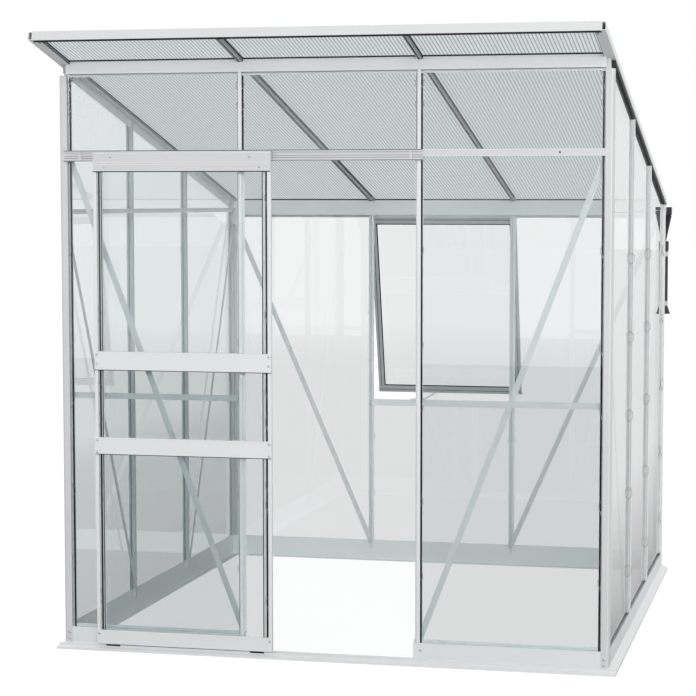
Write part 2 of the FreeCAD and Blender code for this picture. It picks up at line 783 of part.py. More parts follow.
def build_glass(parts):
    low = sill_floor + pane_gap
    head = (transom_bottom + transom_top) / 2
    seals = []
    front_panes = []
    play = web_half + pane_gap
    front_top = roof_height - wall - pane_gap
    for bay in range(front_bays):
        t0, t1 = glass_span(bay, bay_width)
        levels = [(head + play, front_top)]
        if bay != 1:
            levels.append((low, head - play))
        front_panes += panes(front, t0, t1, levels)
        seals += pane_seals(front, t0, t1, [(z0, min(z1, top_leg_bottom)) for z0, z1 in levels])
    parts["front_glass"] = front_panes

    rail_level = (side_rail_bottom + side_rail_top) / 2

    def side_top(t):
        return under_roof(t + corner_step) - (wall + pane_gap) / math.cos(slope)

    def side_seal_top(t):
        return under_roof(t + corner_step) - side_leg_drop / math.cos(slope)

    for name, plane in (("left", left), ("right", right)):
        side_panes = []
        for bay in range(side_bays):
            t0, t1 = glass_span(bay, bay_depth)
            side_panes += panes(plane, t0, t1, [(low, rail_level - pane_gap / 2)])
            side_panes += panes(plane, t0, t1, [(rail_level + pane_gap / 2, side_top)])
            seals += pane_seals(plane, t0, t1, [(low, rail_level)])
            seals += pane_seals(plane, t0, t1, [(rail_level + pane_gap, side_seal_top)])
        parts["glass_" + name] = side_panes

    back_top = under_roof(back_plane + glass_gap + glass_thickness) - wall - pane_gap
    back_panes = []
    for bay in range(front_bays):
        t0, t1 = glass_span(bay, bay_width)
        top = vent_sill_bottom + vent_sill_step - pane_gap if bay == 1 else back_top
        back_panes += panes(back, t0, t1, [(low, top)])
        seals += pane_seals(back, t0, t1, [(low, min(top, eave_bottom))])
    parts["glass_back"] = back_panes
    return seals


# Black strips that close the roof: over the side glass, along the bars and over the front and back rails
def roof_seals():
    depth_in = glass_gap + glass_thickness
    strips = []
    start = -face_depth / math.cos(slope)
    end = (back_plane + face_depth) / math.cos(slope)
    strip = roof.block(-corner_step - face_depth + wall, -corner_step - depth_in, -edge_seal_drop, 0, start, end)
    flange_end = corner_step + flange_half
    strip = strip.cut([plane.block(-big, big, -flange_end, big, 0, big) for plane in (front, back)])
    strips += [strip, mirror_x(strip)]
    low = roof_seat + sheet_thickness
    high = roof_bar_height - wall
    for bay in range(1, front_bays):
        for side in (-1, 1):
            a = bay * bay_width + side * (roof_web_half + sheet_play)
            b = bay * bay_width + side * nose_half
            strips.append(roof.block(min(a, b), max(a, b), low, high, roof_start + wall, roof_end))
    box = edge_box - edge_outer
    strip = roof.block(box + sheet_play, -edge_lip, low, high, roof_start + wall, roof_end)
    strips += [strip, mirror_x(strip)]
    for y in (-face_depth, back_plane + face_depth - closer_depth):
        strips += strips_between_bars(y, closer_height, roof_seat)
    return strips


# Flat bar with clipped ends, from one bolt to the other
def brace(plane, start, end):
    direction = V(end[0] - start[0], end[1] - start[1], 0)
    length = direction.Length
    direction.normalize()
    normal = V(-direction.y, direction.x, 0)
    half = brace_width / 2
    along = plane.along * direction.x + plane.upward * direction.y
    across = plane.along * normal.x + plane.upward * normal.y
    origin = plane.spot(start[0], -channel_depth - brace_thickness, start[1])
    end = half - brace_clip
    outline = [
        (-half, -end), (-end, -half), (length + end, -half), (length + half, -end),
        (length + half, end), (length + end, half), (-end, half), (-half, end),
    ]
    return prism(outline, origin, along, across, plane.outward * brace_thickness)


def build_braces(parts):
    bars = []
    front_top = transom_bottom - front_brace_drop
    back_top = eave_level - back_brace_drop
    # the back brace's lower edge where it crosses the side brace's plane
    fall = (back_top - brace_foot) / (bay_width - brace_end)
    edge = back_top - fall * (-brace_thickness / 2 - brace_end) - brace_width / 2 * math.sqrt(1 + fall * fall)
    side_tops = (eave_level - side_brace_drop, edge - brace_spacing)
    for plane, length, pitch, tops in (
        (front, wall_width, bay_width, (front_top, front_top)),
        (left, wall_depth, bay_depth, side_tops),
        (right, wall_depth, bay_depth, side_tops),
        (back, wall_width, bay_width, (back_top, back_top)),
    ):
        bars.append(brace(plane, (brace_end, tops[0]), (pitch, brace_foot)))
        bars.append(brace(plane, (length - brace_end, tops[1]), (length - pitch, brace_foot)))
    parts["braces"] = bars


# Triangular plates bolted inside the corners
def build_gussets(parts):
    front_top = roof_height - roof_fall * top_web_inner - 2 * wall
    plates = []
    for plane, top, inner, inset in (
        (front, front_top, -channel_depth, -core_edge - nose_half),
        (back, eave_bottom + gusset_rise, -channel_depth - brace_thickness, loose_gap),
    ):
        outline = [(0, top), (gusset_leg, top), (gusset_leg, top - gusset_tip), (gusset_tip, top - gusset_leg),
                   (0, top - gusset_leg)]
        outline = [(t + inset, z) for t, z in outline]
        plates.append(plane.plate(outline, inner - brace_thickness, inner))
        plates.append(mirror_x(plates[-1]))
    parts["gussets"] = plates


# Sash section in (a, b): closed tube at the outer edge, flange for the glass inside
def sash_outline(width, tube, thickness):
    return [(0, 0), (width, 0), (width, wall), (tube, wall), (tube, thickness), (0, thickness, nose_round)]


def sash_hole(tube, thickness):
    return rectangle(wall, tube - wall, wall, thickness - wall)


def build_door(parts):
    b0 = door_back
    b1 = door_back + door_thickness
    right_edge = door_left + door_width
    stile_depth = door_thickness - wall
    outline = [(a + door_left, b + b0, *r) for a, b, *r in sash_outline(stile_width, stile_tube, stile_depth)]
    hole = [(a + door_left, b + b0) for a, b in sash_hole(stile_tube, stile_depth)]
    stile = front.upright(outline, 0, door_bottom, door_top, [hole])
    centre = V(door_left + door_width / 2, 0, 0)
    parts["door_stiles"] = [stile, stile.mirror(centre, V(1, 0, 0))]
    rails = []
    for z0, z1 in door_rails:
        section = [(b0, z0), (b1, z0, nose_round), (b1, z1, nose_round), (b0, z1)]
        hole = rectangle(b0 + wall, b1 - wall, z0 + wall, z1 - wall)
        core = front.rail(section, door_left + stile_width, right_edge - stile_width, [hole])
        face = [(b1 - wall, z0), (b1, z0, nose_round), (b1, z1, nose_round), (b1 - wall, z1)]
        rails.append(core.fuse(front.rail(face, door_left, right_edge)).removeSplitter())
    parts["door_top_rail"] = rails[0]
    parts["door_cross_rails"] = rails[1:]

    glass_back = b0 + wall + glass_gap
    t0 = door_left + stile_tube + pane_gap
    t1 = right_edge - stile_tube - pane_gap
    glass = []
    seals = []
    for upper, lower in zip(door_rails, door_rails[1:]):
        z0 = lower[1] + small_gap
        z1 = upper[0] - small_gap
        glass.append(front.block(t0, t1, glass_back, glass_back + glass_thickness, z0, z1))
        for a in (t0 + pane_gap, t1 - pane_gap - seal_width):
            seals.append(front.block(a, a + seal_width, b0 + wall, glass_back, z0, z1))
    parts["door_glass"] = glass
    parts["door_seals"] = seals
    build_door_track(parts, b0)


# Hanging gear: a channel over the doorway, two wheels on pins, guide shoes and stops
def build_door_track(parts, b0):
    d0 = face_depth
    d1 = face_depth + track_depth
    shelf = track_bottom + wall
    outline = [
        (d0, track_bottom), (d1, track_bottom), (d1, track_bottom + track_lip), (d1 - wall, track_bottom + track_lip),
        (d1 - wall, shelf), (d0 + wall, shelf), (d0 + wall, track_top - wall), (d1 - wall, track_top - wall),
        (d1 - wall, track_top - track_lip), (d1, track_top - track_lip), (d1, track_top), (d0, track_top),
    ]
    parts["door_track"] = front.rail(outline, track_left, track_right)
    wheel_level = shelf + wheel_radius + small_gap
    wheel_back = d0 + wall + (track_depth - 2 * wall - wheel_width) / 2
    pins = []
    for name, t in (("left", door_left + wheel_inset), ("right", door_left + door_width - wheel_inset)):
        hub = front.spot(t, wheel_back, wheel_level)
        wheel = Part.makeCylinder(wheel_radius, wheel_width, hub, front.outward)
        bore = Part.makeCylinder(axle_radius + axle_fit, wheel_width, hub, front.outward)
        parts["door_wheel_" + name] = wheel.cut(bore)
        pins.append(Part.makeCylinder(axle_radius, b0 - wheel_back, hub, front.outward))
    parts["door_wheel_pins"] = pins

    shoes = []
    for t in (door_left + stile_width, door_left + door_width - stile_width - shoe_length):
        low = rib_top - 2 * wall
        inner = rib_depth - loose_gap
        outer = rib_depth + rib_width + loose_gap
        roof_of_slot = rib_top + loose_gap
        outline = [
            (inner - wall, low), (inner, low), (inner, roof_of_slot), (outer, roof_of_slot), (outer, low),
            (outer + wall, low), (outer + wall, door_bottom), (inner - wall, door_bottom),
        ]
        shoes.append(front.rail(outline, t, t + shoe_length))
    parts["door_guides"] = shoes

    left_face = door_left + wheel_inset - wheel_radius - slide_opening - small_gap
    right_face = door_left + door_width - wheel_inset + wheel_radius + slide_closing + small_gap
    stops = []
    for a, b in ((left_face - stop_length, left_face), (right_face, right_face + stop_length)):
        stops.append(front.block(a, b, d0 + wall, d1 - wall, shelf, track_top - track_lip))
    parts["door_stops"] = stops


# Vent, modelled closed about its hinge axis and then swung open
def build_vent(parts):
    t0 = wall_width / 2 - vent_width / 2
    t1 = t0 + vent_width
    axis = back.spot(0, vent_axis_depth, vent_axis_height)
    # the sash's own plane: t along, u outwards, z up, zero at the hinge axis
    sash = Plane(axis, V(1, 0, 0), V(0, 1, 0), up)
    b0 = -vent_back
    thick = vent_thickness
    top = -vent_neck
    foot = -vent_length

    def swing(shape):
        shape = shape.copy()
        shape.rotate(axis, V(1, 0, 0), vent_angle)
        return shape

    def rail_outline(z, upwards):
        return [(b + b0, z + upwards * a, *r) for a, b, *r in sash_outline(vent_rail, vent_tube, thick)]

    def rail_hole(z, upwards):
        return [(b + b0, z + upwards * a) for a, b in sash_hole(vent_tube, thick)]

    head = sash.rail(rail_outline(top, -1), t0, t1, [rail_hole(top, -1)])
    neck = sash.block(t0, t1, -neck_half, neck_half, top, 0)
    bulb = Part.makeCylinder(hinge_radius, vent_width, sash.spot(t0, 0, 0), V(1, 0, 0))
    head = head.fuse([neck, bulb]).removeSplitter()
    lower = sash.rail(rail_outline(foot, 1), t0, t1, [rail_hole(foot, 1)])
    outline = sash_outline(vent_side, vent_tube, thick)
    hole = sash_hole(vent_tube, thick)
    z0 = foot + vent_rail
    z1 = top - vent_rail
    outline = [(a + t0, b + b0, *r) for a, b, *r in outline]
    hole = [(a + t0, b + b0) for a, b in hole]
    first = sash.upright(outline, 0, z0, z1, [hole])
    second = mirror_x(first)
    parts["vent_frame"] = [swing(shape) for shape in (head, lower, first, second)]

    glass_back = b0 + wall + glass_gap
    play = vent_tube + pane_gap
    pane = sash.block(t0 + play, t1 - play, glass_back, glass_back + glass_thickness, foot + play, top - play)
    parts["vent_glass"] = swing(pane)
    seals = []
    for a in (t0 + play + pane_gap, t1 - play - pane_gap - seal_width):
        seals.append(swing(sash.block(a, a + seal_width, b0 + wall, glass_back, z0, z1)))
    for z in (foot + play + pane_gap, top - play - pane_gap - seal_width):
        seals.append(swing(sash.block(t0 + vent_side, t1 - vent_side, b0 + wall, glass_back, z, z + seal_width)))
    parts["vent_seals"] = seals
    build_vent_hinge(parts, t0, t1, sash)
    build_vent_stay(parts, sash, swing)


# Hinge rail on the eave rail: an open ring that holds the round edge of the vent
def build_vent_hinge(parts, t0, t1, sash):
    inner = hinge_radius + hinge_gap
    outer = inner + hinge_wall
    ring = Part.makeCylinder(outer, t1 - t0, sash.spot(t0, 0, 0), V(1, 0, 0))
    plate_face = face_depth - vent_axis_depth
    plate = sash.block(t0, t1, plate_face, plate_face + wall, -outer, gutter_bottom - vent_axis_height)
    rail = ring.fuse(plate)
    rail = rail.cut(Part.makeCylinder(inner, t1 - t0, sash.spot(t0, 0, 0), V(1, 0, 0)))
    mouth_in = -neck_half - 2 * hinge_gap
    beyond = 2 * outer
    mouth = [(mouth_in, 0), (mouth_in, -beyond), (beyond, -beyond), (beyond, -neck_half), (neck_half, 0)]
    parts["vent_hinge_rail"] = rail.cut(sash.rail(mouth, t0, t1)).removeSplitter()


# Stay: a flat arm on a pin at the foot of the vent, its hooked end lying over the sill
def build_vent_stay(parts, sash, swing):
    t = bay_width + stay_side
    pivot_z = -vent_length + stay_height
    pivot_u = -vent_back - stay_width / 2 - wall
    bracket = sash.block(t - stay_width, t - stay_width + wall, pivot_u - stay_width / 2, -vent_back,
                         pivot_z - stay_width / 2, pivot_z + stay_width / 2)
    other = sash.block(t - wall, t, pivot_u - stay_width / 2, -vent_back,
                       pivot_z - stay_width / 2, pivot_z + stay_width / 2)
    pin = Part.makeCylinder(pin_radius, stay_width, sash.spot(t - stay_width, pivot_u, pivot_z), V(1, 0, 0))
    parts["vent_stay_bracket"] = swing(bracket.fuse([other, pin]).removeSplitter())

    # the arm itself starts at the pin's present place and slopes down to the sill
    pin_place = swing(Part.Vertex(sash.spot(0, pivot_u, pivot_z))).Point
    start = V(0, pin_place.y, pin_place.z)
    sill_level = vent_sill_top + stay_thickness + 2 * small_gap
    lowering = start.z - sill_level
    fall = math.atan2(lowering, stay_reach)
    inward = V(0, -math.cos(fall), -math.sin(fall))
    across = V(0, -math.sin(fall), math.cos(fall))
    arm_plane = Plane(start, V(1, 0, 0), across, inward)
    half = stay_width / 2
    eye_width = stay_width - 2 * wall - 2 * small_gap
    eye_left = t - stay_width + wall + small_gap
    eye = Part.makeCylinder(half - small_gap, eye_width, V(eye_left, start.y, start.z), V(1, 0, 0))
    outline = [
        (eye_left, 0), (eye_left + eye_width, 0), (eye_left + eye_width, stay_width),
        (t - stay_skew + stay_width, stay_reach), (t - stay_skew - stay_hook, stay_reach),
        (t - stay_skew - stay_hook, stay_reach - stay_width), (t - stay_skew, stay_reach - stay_width),
        (eye_left, stay_width),
    ]
    thick = stay_thickness / 2
    arm = prism(outline, arm_plane.spot(0, -thick, 0), V(1, 0, 0), inward, across * stay_thickness)
    bore = Part.makeCylinder(pin_radius + pin_fit, stay_width, V(t - stay_width, start.y, start.z), V(1, 0, 0))
    parts["vent_stay"] = arm.fuse(eye).removeSplitter().cut(bore)


# Rainwater outlet, leaning tube, downpipe with flared spout, and its clips
def build_downpipe(parts):
    t = wall_width + pipe_offset
    u = face_depth + spout_radius + wall
    end = wall_width + edge_outer
    depth0 = face_depth + loose_gap
    depth1 = face_depth + gutter_width
    outlet_top = outlet_bottom + outlet_height
    box = back.block(end, end + outlet_width, depth0, depth1, outlet_bottom, outlet_top)
    room = back.block(end, end + outlet_width - pipe_wall, depth0 + pipe_wall, depth1 - pipe_wall,
                      gutter_bottom + wall, outlet_top + pipe_wall)
    collar_radius = pipe_radius + pipe_wall
    shoulder = pipe_top + socket_depth
    neck = back.spot(end + outlet_width - bend_radius, (depth0 + depth1) / 2, outlet_bottom - 2 * pipe_wall)
    foot = back.spot(t, u, shoulder)
    lean = foot - neck
    tube = Part.makeCylinder(bend_radius, lean.Length, neck, lean)
    throat = Part.makeCylinder(bend_radius, 2 * pipe_wall, neck, up)
    collar = Part.makeCylinder(collar_radius, 2 * socket_depth, back.spot(t, u, pipe_top - socket_depth), up)
    shell = box.fuse([tube, throat, collar])
    tube_bore = Part.makeCylinder(bend_radius - pipe_wall, lean.Length, neck, lean)
    throat_bore = Part.makeCylinder(bend_radius - pipe_wall, 4 * pipe_wall, neck, up)
    socket = Part.makeCylinder(pipe_radius + small_gap, socket_depth, back.spot(t, u, pipe_top - socket_depth), up)
    cavity = Part.makeCylinder(pipe_radius - pipe_wall, socket_depth - pipe_wall, back.spot(t, u, pipe_top), up)
    parts["gutter_outlet"] = shell.cut([tube_bore, throat_bore, socket, cavity, room]).removeSplitter()

    pipe = Part.makeCylinder(pipe_radius, pipe_top - pipe_bottom, back.spot(t, u, pipe_bottom), up)
    spout_spot = back.spot(t, u, pipe_bottom - spout_length)
    flare = Part.makeCone(spout_radius, pipe_radius, spout_length, spout_spot, up)
    hollow = Part.makeCylinder(pipe_radius - pipe_wall, pipe_top - pipe_bottom, back.spot(t, u, pipe_bottom), up)
    mouth = Part.makeCone(spout_radius - pipe_wall, pipe_radius - pipe_wall, spout_length, spout_spot, up)
    parts["downpipe"] = pipe.fuse(flare).cut(hollow.fuse(mouth)).removeSplitter()

    clips = []
    for z in (pipe_bottom + low_clip_rise, pipe_top - high_clip_drop):
        band = Part.makeCylinder(pipe_radius + small_gap + wall, clip_height, back.spot(t, u, z), up)
        tab = back.block(t - channel_half, t + channel_half, face_depth, u, z, z + clip_height)
        gap = Part.makeCylinder(pipe_radius + small_gap, clip_height, back.spot(t, u, z), up)
        clips.append(band.fuse(tab).cut(gap).removeSplitter())
    parts["downpipe_clips"] = clips


def build_all():
    parts = {}
    build_base(parts)
    build_corners(parts)
    build_front_top(parts)
    build_front_bars(parts)
    build_front_cross_bars(parts)
    build_side_bars(parts)
    build_side_rails(parts)
    build_back_rails(parts)
    build_gutter(parts)
    build_roof_bars(parts)
    build_roof_sheets(parts)
    seals = build_glass(parts)
    parts["glazing_seals"] = seals + roof_seals()
    build_braces(parts)
    build_gussets(parts)
    build_door(parts)
    build_vent(parts)
    build_downpipe(parts)
    return parts


# One file per named part, moved so that the origin is under the middle of the whole
def write_all(parts):
    os.makedirs("parts", exist_ok=True)
    shapes = {}
    box = FreeCAD.BoundBox()
    for name, shape in parts.items():
        solids = []
        for piece in (shape if isinstance(shape, list) else [shape]):
            solids += piece.Solids
        shapes[name] = solids[0] if len(solids) == 1 else Part.makeCompound(solids)
        box.add(shapes[name].BoundBox)
    shift = V(-box.Center.x, -box.Center.y, -box.ZMin)
    for name, shape in shapes.items():
        placed = shape.copy()
        placed.translate(shift)
        placed.exportStep("parts/%s.step" % name)
    print("shift", shift, "size", box.XLength, box.YLength, box.ZLength)


write_all(build_all())
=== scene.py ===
import math
import bmesh
import bpy
from mathutils import Matrix, Vector


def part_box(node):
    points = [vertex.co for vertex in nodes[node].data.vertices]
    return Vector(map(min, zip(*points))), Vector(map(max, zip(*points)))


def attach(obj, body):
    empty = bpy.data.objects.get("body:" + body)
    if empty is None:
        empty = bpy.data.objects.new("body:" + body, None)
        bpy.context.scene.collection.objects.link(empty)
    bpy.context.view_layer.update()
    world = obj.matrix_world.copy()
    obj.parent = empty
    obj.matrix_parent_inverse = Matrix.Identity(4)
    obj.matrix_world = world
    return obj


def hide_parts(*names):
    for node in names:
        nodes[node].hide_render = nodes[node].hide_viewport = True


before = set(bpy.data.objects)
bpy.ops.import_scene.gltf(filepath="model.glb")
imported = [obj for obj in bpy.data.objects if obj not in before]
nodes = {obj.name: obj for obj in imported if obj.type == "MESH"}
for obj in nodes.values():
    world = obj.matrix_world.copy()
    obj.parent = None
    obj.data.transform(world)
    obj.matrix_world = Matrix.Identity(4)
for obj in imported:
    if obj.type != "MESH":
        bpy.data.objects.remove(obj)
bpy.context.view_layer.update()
print("frame loaded:", len(nodes), "pieces")


# an sRGB hex colour as the linear numbers that shaders take
def linearOf(hexColour):
    parts = [int(hexColour[i:i + 2], 16) / 255 for i in (1, 3, 5)]
    return tuple(p / 12.92 if p <= 0.04045 else ((p + 0.055) / 1.055) ** 2.4 for p in parts) + (1.0,)


# adds a node; a setting is one of its properties or the value of one of its inputs
def addNode(tree, kind, settings=None, links=None):
    node = tree.nodes.new(kind)
    for key, value in (settings or {}).items():
        if isinstance(key, str) and key not in node.inputs:
            setattr(node, key, value)
        else:
            node.inputs[key].default_value = value
    for key, socket in (links or {}).items():
        tree.links.new(socket, node.inputs[key])
    return node


def newMaterial(name):
    material = bpy.data.materials.new(name)
    material.use_nodes = True
    material.node_tree.nodes.clear()
    return material, material.node_tree


# noise that is stretched along one axis of the object; scales are waves per metre
def stretchedNoise(tree, across, along, axis, detail=2.0):
    scale = [across] * 3
    scale["XYZ".index(axis)] = along
    place = addNode(tree, "ShaderNodeTexCoord")
    mapping = addNode(tree, "ShaderNodeMapping", {"Scale": scale}, {"Vector": place.outputs["Object"]})
    return addNode(tree, "ShaderNodeTexNoise", {"Scale": 1.0, "Detail": detail},
                   {"Vector": mapping.outputs["Vector"]})


# a finish's two tones and its shine, each led by a pattern
def toneAndShine(tree, look, tonePattern, shinePattern):
    tone = addNode(tree, "ShaderNodeMix", {
        "data_type": "RGBA", 6: linearOf(look["light"]), 7: linearOf(look["dark"])}, {0: tonePattern})
    shine = addNode(tree, "ShaderNodeMapRange", {"To Min": look["roughLow"], "To Max": look["roughHigh"]},
                    {"Value": shinePattern})
    return {"Base Color": tone.outputs[2], "Roughness": shine.outputs["Result"]}


# Extruded aluminium, anodised in its natural colour: a pale satin metal with faint drawing lines.
# The real lines are finer than a millimetre, and are drawn about 2.4 mm apart so that they show
aluminium = {
    # besides its own two tones the metal has two darker copies of them, which are painted shade: one for pieces
    # in strong light and a darker one for pieces seen inside the house
    "light": "#E6E8E8", "dark": "#DADDDD", "paintedShadeOpenLight": "#D3D5D5", "paintedShadeOpenDark": "#CACCCC",
    "paintedShadeIndoorLight": "#C6CACB", "paintedShadeIndoorDark": "#B9BDBE", "metallic": 0.4, "roughLow": 0.42, "roughHigh": 0.56,
    "lineAcross": 420.0, "lineAlong": 1.2, "cloud": 2.5, "lineDepth": 0.00004, "lineStrength": 0.35,
}


def anodisedAluminium(name, axis, tones=("light", "dark")):
    material, tree = newMaterial(name)
    lines = stretchedNoise(tree, aluminium["lineAcross"], aluminium["lineAlong"], axis)
    clouds = stretchedNoise(tree, aluminium["cloud"], aluminium["cloud"], axis)
    bump = addNode(tree, "ShaderNodeBump", {
        "Strength": aluminium["lineStrength"], "Distance": aluminium["lineDepth"],
    }, {"Height": lines.outputs["Fac"]})
    look = {**aluminium, "light": aluminium[tones[0]], "dark": aluminium[tones[1]]}
    shader = addNode(tree, "ShaderNodeBsdfPrincipled", {"Metallic": aluminium["metallic"]}, {
        **toneAndShine(tree, look, clouds.outputs["Fac"], lines.outputs["Fac"]),
        "Normal": bump.outputs["Normal"]})
    addNode(tree, "ShaderNodeOutputMaterial", links={"Surface": shader.outputs["BSDF"]})
    return material


# Zinc-plated steel: duller and bluer than the aluminium, with a mottle that is drawn about 6 mm wide to show
zinc = {
    "light": "#DFE2E4", "dark": "#C6CACC", "mottle": 180.0, "detail": 4.0, "roughLow": 0.3, "roughHigh": 0.5,
}


def zincPlatedSteel():
    material, tree = newMaterial("zincPlatedSteel")
    mottle = stretchedNoise(tree, zinc["mottle"], zinc["mottle"], "Z", zinc["detail"])
    shader = addNode(tree, "ShaderNodeBsdfPrincipled", {"Metallic": 1.0},
                     toneAndShine(tree, zinc, mottle.outputs["Fac"], mottle.outputs["Fac"]))
    addNode(tree, "ShaderNodeOutputMaterial", links={"Surface": shader.outputs["BSDF"]})
    return material


# Drawn stainless wire: bright and smooth, so the thin clips catch the light, with marks about 1 mm apart
drawnWire = {
    "light": "#D9DADB", "dark": "#B4B6B8", "across": 900.0, "along": 40.0, "roughLow": 0.16, "roughHigh": 0.3,
}


def stainlessWire():
    material, tree = newMaterial("stainlessWire")
    drawn = stretchedNoise(tree, drawnWire["across"], drawnWire["along"], "Z")
    shader = addNode(tree, "ShaderNodeBsdfPrincipled", {"Metallic": 1.0},
                     toneAndShine(tree, drawnWire, drawn.outputs["Fac"], drawn.outputs["Fac"]))
    addNode(tree, "ShaderNodeOutputMaterial", links={"Surface": shader.outputs["BSDF"]})
    return material


# Clear float glass, 3 mm: faint blue-green, mirror-like at a shallow angle, with a trace of rolling waves a
# third of a metre wide and a film of dust in streaks a hand wide
glass = {
    "tint": "#F7F9F9", "lampTint": "#EDF2F3", "ior": 1.58,
    "waveAcross": 3.0, "waveAlong": 1.0, "waveDetail": 1.0, "waveDepth": 0.00003, "waveStrength": 0.2,
    "filmAcross": 9.0, "filmAlong": 4.0, "filmDetail": 3.0, "film": 0.012,
}


def floatGlass():
    material, tree = newMaterial("floatGlass")
    wave = stretchedNoise(tree, glass["waveAcross"], glass["waveAlong"], "Z", glass["waveDetail"])
    smear = stretchedNoise(tree, glass["filmAcross"], glass["filmAlong"], "Z", glass["filmDetail"])
    bump = addNode(tree, "ShaderNodeBump", {
        "Strength": glass["waveStrength"], "Distance": glass["waveDepth"]}, {"Height": wave.outputs["Fac"]})
    film = addNode(tree, "ShaderNodeMapRange", {"To Min": 0.0, "To Max": glass["film"]},
                   {"Value": smear.outputs["Fac"]})
    shader = addNode(tree, "ShaderNodeBsdfPrincipled", {
        "Base Color": linearOf(glass["tint"]), "IOR": glass["ior"], "Transmission Weight": 1.0,
    }, {"Roughness": film.outputs["Result"], "Normal": bump.outputs["Normal"]})
    clear = addNode(tree, "ShaderNodeBsdfTransparent", {"Color": linearOf(glass["lampTint"])})
    path = addNode(tree, "ShaderNodeLightPath")
    mix = addNode(tree, "ShaderNodeMixShader", links={
        0: path.outputs["Is Shadow Ray"], 1: shader.outputs["BSDF"], 2: clear.outputs["BSDF"]})
    addNode(tree, "ShaderNodeOutputMaterial", links={"Surface": mix.outputs["Shader"]})
    return material


# Extruded polycarbonate sheet: glossy and milky, so daylight comes through it evenly and its inner walls
# show as fine lines down the slope, which are painted shade on its skins
sheetPlastic = {
    # the two wall colours below are painted shade: grey lines where the clear inner walls stand
    "light": "#FBFCFC", "wallPaintedShade": "#C6CACB", "upperWallPaintedShade": "#F8FAFA", "lampTint": "#F0F2F2", "ior": 1.58,
    "milky": 0.94, "clear": 0.92, "roughLow": 0.18, "roughHigh": 0.28, "flowAcross": 260.0, "flowAlong": 1.5,
    "wallPitch": 0.0148, "wallShadeShown": 0.28, "upward": 0.5,
}


# the share that passes a skin, less what its open upper face mirrors at a shallow angle
def passingShare(tree, passing):
    fresnel = addNode(tree, "ShaderNodeFresnel", {"IOR": sheetPlastic["ior"]})
    face = addNode(tree, "ShaderNodeNewGeometry")
    up = addNode(tree, "ShaderNodeSeparateXYZ", links={"Vector": face.outputs["Normal"]})
    fromAbove = addNode(tree, "ShaderNodeMath", {"operation": "GREATER_THAN", 1: sheetPlastic["upward"]},
                        {0: up.outputs["Z"]})
    fromOutside = addNode(tree, "ShaderNodeMath", {"operation": "SUBTRACT", "use_clamp": True}, {
        0: fromAbove.outputs[0], 1: face.outputs["Backfacing"]})
    mirrored = addNode(tree, "ShaderNodeMath", {"operation": "MULTIPLY"}, {
        0: fresnel.outputs["Fac"], 1: fromOutside.outputs[0]})
    return addNode(tree, "ShaderNodeMapRange", {"To Min": passing, "To Max": 0.0},
                   {"Value": mirrored.outputs[0]})


# the share of light that passes leaves the lower skin in all directions, and the upper one straight on
def twinWallPolycarbonate(name, wallPaintedShade, passing, through):
    material, tree = newMaterial(name)
    flow = stretchedNoise(tree, sheetPlastic["flowAcross"], sheetPlastic["flowAlong"], "Y")
    # painted shade: the inner walls' shade is drawn as lines about five times as wide as their 0.8 mm, so that
    # they show from afar
    place = addNode(tree, "ShaderNodeTexCoord")
    split = addNode(tree, "ShaderNodeSeparateXYZ", links={"Vector": place.outputs["Object"]})
    cells = addNode(tree, "ShaderNodeMath", {"operation": "DIVIDE", 1: sheetPlastic["wallPitch"]},
                    {0: split.outputs["X"]})
    offset = addNode(tree, "ShaderNodeMath", {"operation": "ADD", 1: sheetPlastic["wallShadeShown"] / 2},
                     {0: cells.outputs[0]})
    phase = addNode(tree, "ShaderNodeMath", {"operation": "FRACT"}, {0: offset.outputs[0]})
    wallShadeHere = addNode(tree, "ShaderNodeMath", {"operation": "LESS_THAN", 1: sheetPlastic["wallShadeShown"]},
                       {0: phase.outputs[0]})
    look = toneAndShine(tree, {**sheetPlastic, "dark": wallPaintedShade}, wallShadeHere.outputs[0], flow.outputs["Fac"])
    shader = addNode(tree, "ShaderNodeBsdfPrincipled", {"IOR": sheetPlastic["ior"]}, look)
    behind = addNode(tree, through, links={"Color": look["Base Color"]})
    share = passingShare(tree, passing)
    skin = addNode(tree, "ShaderNodeMixShader", links={
        0: share.outputs["Result"], 1: shader.outputs["BSDF"], 2: behind.outputs["BSDF"]})
    clear = addNode(tree, "ShaderNodeBsdfTransparent", {"Color": linearOf(sheetPlastic["lampTint"])})
    path = addNode(tree, "ShaderNodeLightPath")
    mix = addNode(tree, "ShaderNodeMixShader", links={
        0: path.outputs["Is Shadow Ray"], 1: skin.outputs["Shader"], 2: clear.outputs["BSDF"]})
    addNode(tree, "ShaderNodeOutputMaterial", links={"Surface": mix.outputs["Shader"]})
    return material


# Dull or satin moulded surfaces: two tones, their own shine and a texture drawn 2 to 3 mm wide to show
moulded = {
    # extruded EPDM rubber: near black, matt, slightly dusty
    "extrudedRubber": {
        "light": "#262727", "dark": "#161717", "grain": 350.0, "depth": 0.0001,
        "roughLow": 0.55, "roughHigh": 0.75},
    # moulded polypropylene: black with a satin skin
    "mouldedPolypropylene": {
        "light": "#1B1C1D", "dark": "#101111", "grain": 500.0, "depth": 0.00005,
        "roughLow": 0.3, "roughHigh": 0.45},
    # moulded nylon: slightly yellow white with a soft shine
    "mouldedNylon": {
        "light": "#ECEBE4", "dark": "#DEDDD6", "grain": 400.0, "depth": 0.00005,
        "roughLow": 0.35, "roughHigh": 0.5},
    "detail": 3.0, "strength": 0.4, "ior": 1.5,
}


